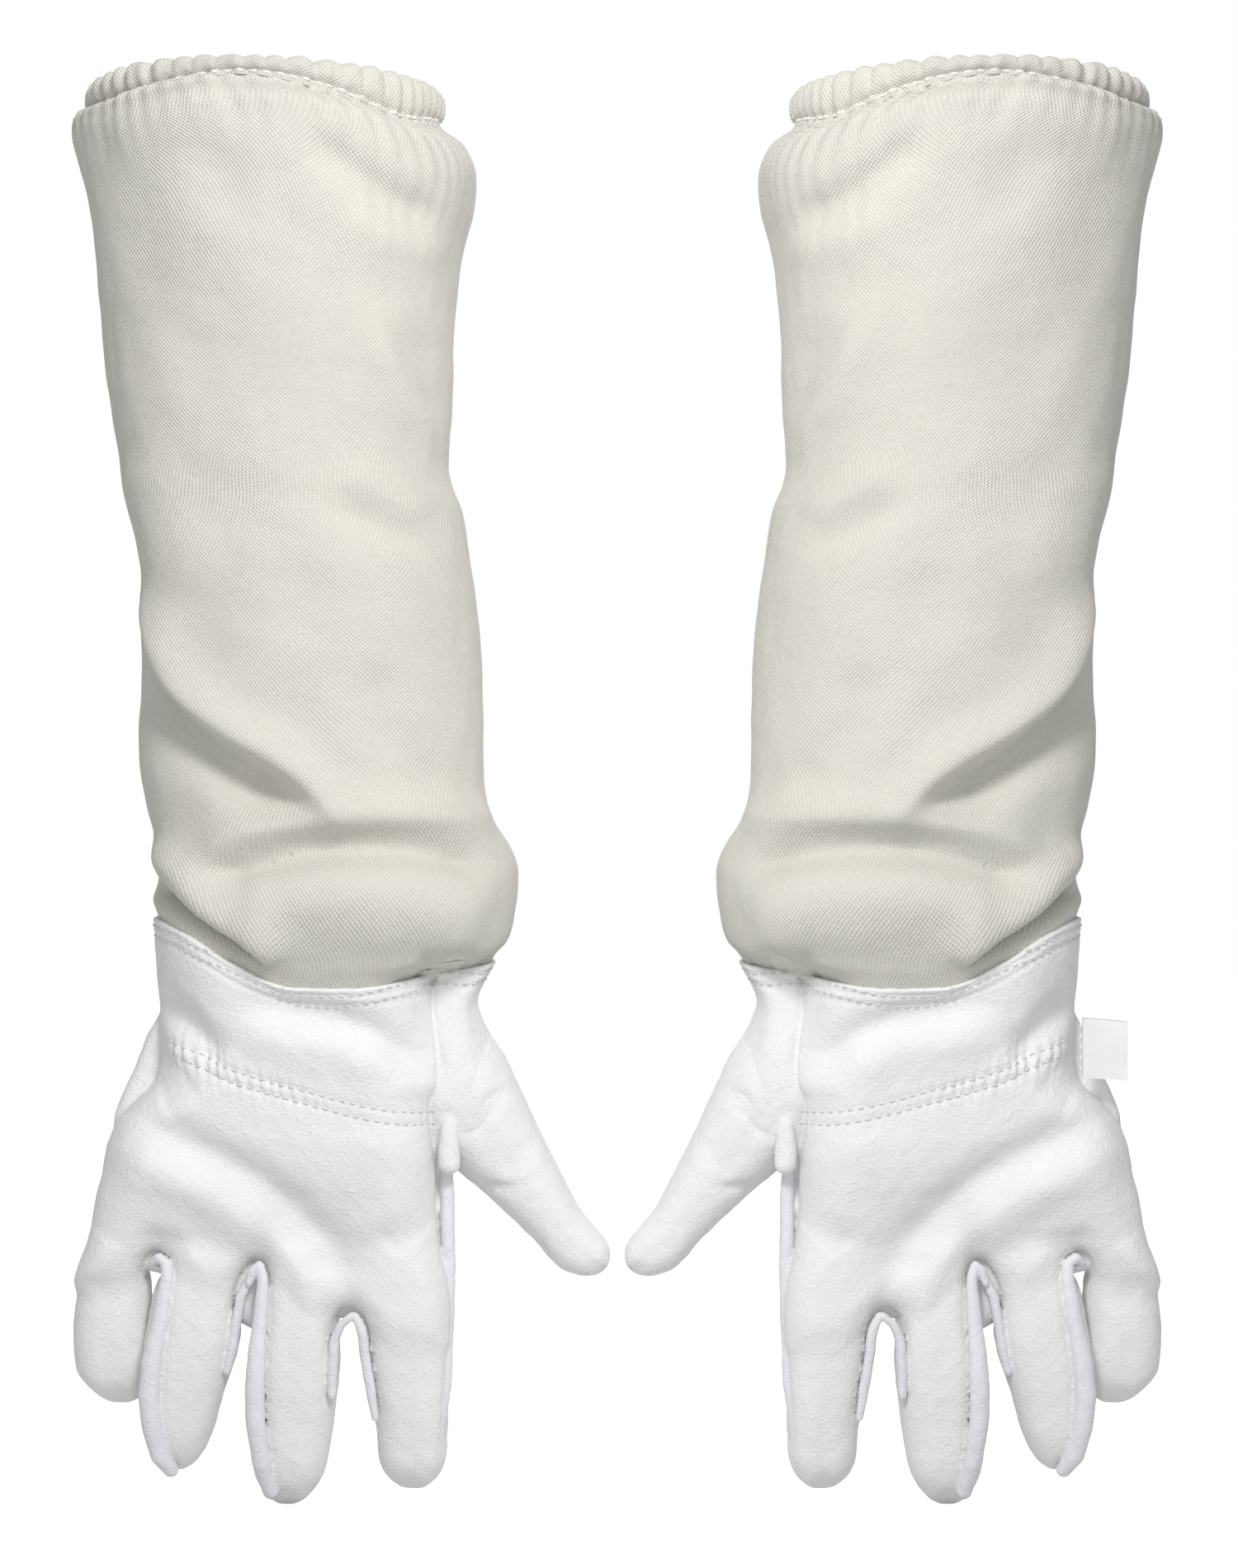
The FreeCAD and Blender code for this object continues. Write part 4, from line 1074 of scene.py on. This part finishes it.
def canvas_material():
    """Unbleached plain weave: offset oval threads, uneven yarn colour and a few dark flecks."""
    m = Nodes("canvas")
    cloth = m.add("ShaderNodeUVMap")
    place = m.add("ShaderNodeTexCoord", 3)
    sway = m.add("ShaderNodeTexNoise", 1, Vector=cloth, Scale=0.06, Detail=1.0)
    cloth = m.mix(CLOTH_SWAY, cloth, sway)
    wander = m.add("ShaderNodeTexNoise", 1, Vector=cloth, Scale=1.3, Detail=2.0)
    cloth = m.mix(CLOTH_WANDER, cloth, wander)
    millimetre = (1 - CLOTH_SWAY) * (1 - CLOTH_WANDER)
    parts = m.add("ShaderNodeSeparateXYZ", None, Vector=cloth).outputs
    across = m.math("SINE", m.math("MULTIPLY", parts[0], 2 * math.pi / (WARP_PITCH * millimetre)))
    along = m.math("SINE", m.math("MULTIPLY", parts[1], math.pi / (WEFT_PITCH * millimetre)))
    thread = m.math("ADD", 0.5, m.math("MULTIPLY", m.math("MULTIPLY", across, along), 0.5))
    weave = m.mix(thread, YARN_GAP, m.mix(m.noise(cloth, 1.1, 2), YARN, YARN_PALE))
    yarn = m.noise(cloth, 0.35, 3)
    fleck = m.math("GREATER_THAN", m.noise(cloth, 2.3, 1), 0.79)
    tone = m.mix(m.math("MULTIPLY", m.noise(place, 22, 3), 0.35), weave, CANVAS_WARM)
    tone = m.mix(m.math("MULTIPLY", yarn, 0.22), tone, CANVAS_GREY)
    tone = m.mix(m.math("MULTIPLY", fleck, 0.45), tone, FLECK)
    normal = m.bump(m.noise(place, 130, 3), 0.0009, 0.5)
    normal = m.bump(thread, 0.00034, 1.0, Normal=normal)
    normal = m.bump(m.noise(cloth, 2.4, 3), 0.00016, 0.6, Normal=normal)
    return m.finish(tone, 0.88, normal, Specular_IOR_Level=0.18, Sheen_Weight=0.15, Sheen_Roughness=0.6)


def thread_material(name, light, shade):
    """Twisted sewing thread."""
    m = Nodes(name)
    place = m.add("ShaderNodeTexCoord", 3)
    twist = m.add("ShaderNodeTexWave", Vector=place, Scale=420.0, Distortion=2.0)
    tone = m.mix(twist, shade, light)
    return m.finish(tone, 0.6, m.bump(twist, 0.0001, 0.6), Specular_IOR_Level=0.3)


def label_material():
    """Satin ribbon, woven finely across."""
    m = Nodes("label_tape")
    place = m.add("ShaderNodeTexCoord", 3)
    rib = m.add("ShaderNodeTexWave", Vector=place, Scale=900.0, Distortion=0.4)
    tone = m.mix(m.noise(place, 120, 2), RIBBON_SHADE, RIBBON)
    return m.finish(tone, 0.42, m.bump(rib, 0.00006, 0.5), Specular_IOR_Level=0.5, Sheen_Weight=0.2)


def floor_material():
    """White paper, lit so that it runs into the white surroundings."""
    m = Nodes("studio_floor")
    place = m.add("ShaderNodeTexCoord", 3)
    tone = m.mix(m.noise(place, 3, 2), PAPER_SHADE, PAPER)
    glow = m.math("MULTIPLY", m.add("ShaderNodeLightPath"), FLOOR_GLOW)
    return m.finish(tone, 0.9, m.bump(m.noise(place, 60, 2), 0.0001, 0.2), Specular_IOR_Level=0.1,
                    Emission_Color=WHITE, Emission_Strength=glow)


# ---------------- both gloves

NET_STEP = 1.0
HAND_BOX = ((-80, -50, 56), (78, 50, 214))
FINGER_BOXES = dict(
    index=((20, -22, 1), (62, 30, 92)), middle=((-20, -22, -4), (28, 30, 96)),
    ring=((-56, -22, 7), (-6, 30, 104)), little=((-82, -22, 30), (-38, 30, 106)),
)
THUMB_BOX = ((36, -26, 78), (116, 34, 182))
# The line across the knuckles where the fingers' own pieces begin, and between which x each one lies.
KNUCKLE_LINE = curve((-82, 88.5), (-45, 87), (-11, 84), (23, 67.5), (62, 64))
FINGER_EDGES = dict(little=(-90, -44.3), ring=(-44.3, -10.2), middle=(-10.2, 23.4), index=(23.4, 70))
FINGER_REACH = 12.0  # a finger's strips may lie this far beyond its own edges
WEBS = dict(index="fourchette", middle="fourchettes", ring="fourchettes", little="fourchette")
# Where each joint's bend starts and ends, by height, and for the thumb along it from its root.
FINGER_BENDS = dict(index=(66, 44), middle=(72, 50), ring=(84, 58), little=(87, 64))
WRIST_BEND = (182, 154)
THUMB_BEND = (12, 34)


def split_rolls(points, quads, fingers):
    """Which faces belong to the rolled strips."""
    middle = points[quads].mean(1).astype(np.float32)
    strip = rolls_distance(*middle.T, fingers, tab=False)
    return strip < panels_distance(*middle.T, fingers)


def leather_surface(fingers, box):
    """The leather's surface with some of its fingers: points and quads before any folds."""
    distance = leather_distance(fingers)
    points, quads = surface_net(distance, *box, NET_STEP)
    return soften(settle(distance, points), quads), quads


def leather_parts(points, quads, keep, strips):
    """The kept faces, folded, as leather and rolled strips, with the whole surface for the stitches."""
    points = displace_hand(points, quads)
    return {
        "leather": keep_faces(points, quads, keep & ~strips),
        "strips": keep_faces(points, quads, keep & strips),
        "whole": (points, quads),
    }


def finger_piece(name):
    """One finger from the knuckle line down, as its own surface."""
    points, quads = leather_surface((name,), FINGER_BOXES[name])
    middle = points[quads].mean(1).T
    x, _, z = middle
    low, high = FINGER_EDGES[name]
    keep = (z < KNUCKLE_LINE(x)) & (x > low - FINGER_REACH) & (x < high + FINGER_REACH)
    at = middle.astype(np.float32)
    own = np.minimum(finger_distance(*at, **FINGERS[name]), rolls_distance(*at, (name,)))
    keep &= ~(((x < low) | (x > high)) & (own > 1.0))
    return leather_parts(points, quads, keep, split_rolls(points, quads, (name,)))


def hand_piece():
    """The hand and cuff above the knuckle line."""
    every = tuple(FINGERS)
    points, quads = leather_surface(every, HAND_BOX)
    x, _, z = points[quads].mean(1).T
    return leather_parts(points, quads, z >= KNUCKLE_LINE(x), split_rolls(points, quads, every))


def thumb_piece():
    """The thumb's own leather, from under the hand's edge to its tip."""
    points, quads = surface_net(thumb_distance, *THUMB_BOX, NET_STEP)
    return displace_thumb(settle(thumb_distance, points), quads), quads


def row_point(point, side):
    """One glove point in row metres."""
    return tuple(to_row([point], side)[0])


def put(name, part, side, material, nodes=(), body=None, bend=None):
    """Makes a glove piece, hides the CAD parts that it replaces, and rides it on a body; a piece given a
    bend is left where it is, on no body.
    """
    obj = make_mesh(f"{side}_{name}", *part[:2], side, material, *part[2:])
    if nodes:
        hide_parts(*(f"{side}_{node}" for node in nodes))
    if bend:
        upper, lower, start, end = bend
        start, end = row_point(start, side), row_point(end, side)
        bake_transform(obj)
    else:
        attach(obj, f"{side}_{body}")


def finger_bend(name):
    """The bodies on both sides of a finger's joint, and the points between which it bends."""
    start, end = FINGER_BENDS[name]
    path = curve(*FINGERS[name]["path"])
    return "hand", f"{name}_finger", (float(path(start)), 0, start), (float(path(end)), 0, end)


def thumb_point(along):
    x, y, z = THUMB_ROOT
    return x + THUMB_DIRECTION[0] * along, y, z - THUMB_DIRECTION[1] * along


def put_fingers(fingers, side, leather, strip_leather):
    """Each finger's leather and strips; round the little finger there is leather only."""
    for name, parts in fingers.items():
        bend = finger_bend(name)
        panels = [f"{name}_back", f"{name}_palm"]
        web = f"{name}_{WEBS[name]}"
        if ROLLS[name]:
            put(f"{name}_strips", parts["strips"], side, strip_leather, (web,), bend=bend)
        else:
            panels.append(web)
        put(f"{name}_leather", parts["leather"], side, leather, panels, bend=bend)


def make_gloves():
    """Works out every piece once and puts it in both gloves."""
    leather = leather_material("leather", LEATHER, LEATHER_SHADE, 1.0)
    strip_leather = leather_material("fourchette_leather", STRIP, STRIP_SHADE, 0.8)
    canvas, tape = canvas_material(), label_material()
    thread = thread_material("thread", THREAD, THREAD_SHADE)
    leather_thread = thread_material("leather_thread", CUFF_THREAD, CUFF_THREAD_SHADE)

    hand = hand_piece()
    fingers = {name: finger_piece(name) for name in FINGERS}
    thumb = thumb_piece()
    sleeve, hem = sleeve_points(), hem_points()
    lining = inner_sheet(sleeve)
    hand_tree, sleeve_tree, hem_tree = (surface_tree(*p[:2]) for p in (hand["whole"], sleeve, hem))
    rows = {
        "hem": hem_row(hem_tree),
        "seam": seam_rows(sleeve_tree),
        "cuff": cuff_rows(hand_tree),
        "wrist": wrist_rows(hand_tree),
    }

    wrist = ("gauntlet", "hand", (0, 0, WRIST_BEND[0]), (0, 0, WRIST_BEND[1]))
    root = ("hand", "thumb", thumb_point(THUMB_BEND[0]), thumb_point(THUMB_BEND[1]))
    hand_nodes = ("cuff_back", "cuff_palm", "back_panel", "palm_panel", "wrist_elastic", "thumb_base")
    for side in SIDES:
        put("hand_leather", hand["leather"], side, leather, hand_nodes, bend=wrist)
        put("crotch_strips", hand["strips"], side, strip_leather, ("fourchette_crotches",), bend=wrist)
        put_fingers(fingers, side, leather, strip_leather)
        put("thumb_leather", thumb, side, leather, ("thumb_back", "thumb_palm"), bend=root)
        put("sleeve_canvas", sleeve, side, canvas, ("gauntlet_sleeve",), "gauntlet")
        put("sleeve_inside", lining, side, canvas, (), "gauntlet")
        put("hem", hem, side, canvas, ("hem_casing", "hem_elastic"), "gauntlet")
        put("hem_threads", rows["hem"], side, thread, ("hem_stitching",), "gauntlet")
        put("sleeve_seam_threads", rows["seam"], side, thread, ("sleeve_seam_stitching",), "gauntlet")
        put("cuff_threads", rows["cuff"], side, leather_thread, ("cuff_stitching",), bend=wrist)
        put("wrist_threads", rows["wrist"], side, leather_thread, ("wrist_stitching",), bend=wrist)
    put("label", label_points(), "left", tape, ("size_label",), "label")
    put("label_threads", label_threads(), "left", thread, ("label_stitching",), "hand")


# ---------------- studio, in metres

VIEW_X, VIEW_HEIGHT, VIEW_DISTANCE = 0.0006, 0.2558, 1.1
FRAME_HEIGHT = 0.551  # how much of the glove's plane the picture shows
SENSOR = 24.0
WORLD_LIGHT = 0.52
AIM = (0, 0, 0.25)
KEY_COLOR = (1.0, 0.99, 0.97)
FLOOR_HALF, FLOOR_GAP = 3.0, 0.0005


def area_light(name, place, aim, energy, wide, tall, color=(1, 1, 1)):
    data = bpy.data.lights.new(name, "AREA")
    data.shape = "RECTANGLE"
    data.energy, data.size, data.size_y, data.color = energy, wide, tall, color
    obj = bpy.data.objects.new(name, data)
    obj.location = place
    obj.rotation_euler = (Vector(aim) - Vector(place)).to_track_quat("-Z", "Y").to_euler()
    bpy.context.scene.collection.objects.link(obj)
    return obj


def light_one_glove(light, side):
    """Keeps a light to one glove's pieces."""
    lit = bpy.data.collections.new(f"{side}_lit")
    for obj in bpy.data.objects:
        if obj.type == "MESH" and obj.name.startswith(side):
            lit.objects.link(obj)
    light.light_linking.receiver_collection = lit


def make_lights():
    """A key light for each glove, from above its thumb side, a low one in front and a soft one behind."""
    for side, sign in (("right", 1), ("left", -1)):
        place, aim = (sign * 0.22, -0.85, 0.85), (-sign * 0.115, 0, 0.22)
        light_one_glove(area_light(f"{side}_key", place, aim, 8.0, 0.25, 0.25, KEY_COLOR), side)
    area_light("low", (0, -1.2, 0.05), AIM, 3.2, 0.6, 0.3)
    area_light("back", (0, 1.2, 0.9), AIM, 8, 0.9, 0.9)


def make_world():
    """White surroundings: full white to the camera, softer as a light."""
    world = bpy.data.worlds.new("studio")
    bpy.context.scene.world = world
    world.use_nodes = True
    nodes, links = world.node_tree.nodes, world.node_tree.links
    soft, shown = nodes["Background"], nodes.new("ShaderNodeBackground")
    for node, strength in ((soft, WORLD_LIGHT), (shown, 1.0)):
        node.inputs["Color"].default_value = WHITE
        node.inputs["Strength"].default_value = strength
    path, mix = nodes.new("ShaderNodeLightPath"), nodes.new("ShaderNodeMixShader")
    links.new(path.outputs["Is Camera Ray"], mix.inputs[0])
    links.new(soft.outputs[0], mix.inputs[1])
    links.new(shown.outputs[0], mix.inputs[2])
    links.new(mix.outputs[0], nodes["World Output"].inputs[0])


def make_floor():
    corners = [(x * FLOOR_HALF, y * FLOOR_HALF, 0) for x, y in ((-1, -1), (1, -1), (1, 1), (-1, 1))]
    mesh = bpy.data.meshes.new("floor")
    mesh.from_pydata(corners, [], [(0, 1, 2, 3)])
    mesh.materials.append(floor_material())
    floor = bpy.data.objects.new("floor", mesh)
    floor.location.z = cad_box[0][2] - FLOOR_GAP
    bpy.context.scene.collection.objects.link(floor)


def make_camera():
    """Looks straight at the backs of the hands, level with the middle of the gloves."""
    scene = bpy.context.scene
    data = bpy.data.cameras.new("camera")
    data.sensor_fit = "VERTICAL"
    data.sensor_height = SENSOR
    data.lens = SENSOR * VIEW_DISTANCE / FRAME_HEIGHT
    data.clip_start, data.clip_end = 0.02, 20
    camera = bpy.data.objects.new("camera", data)
    camera.location = (VIEW_X, -VIEW_DISTANCE, VIEW_HEIGHT)
    camera.rotation_euler = (math.pi / 2, 0, 0)
    scene.collection.objects.link(camera)
    scene.camera = camera
    scene.view_settings.view_transform = "Standard"


make_gloves()
make_world()
make_lights()
make_floor()
make_camera()
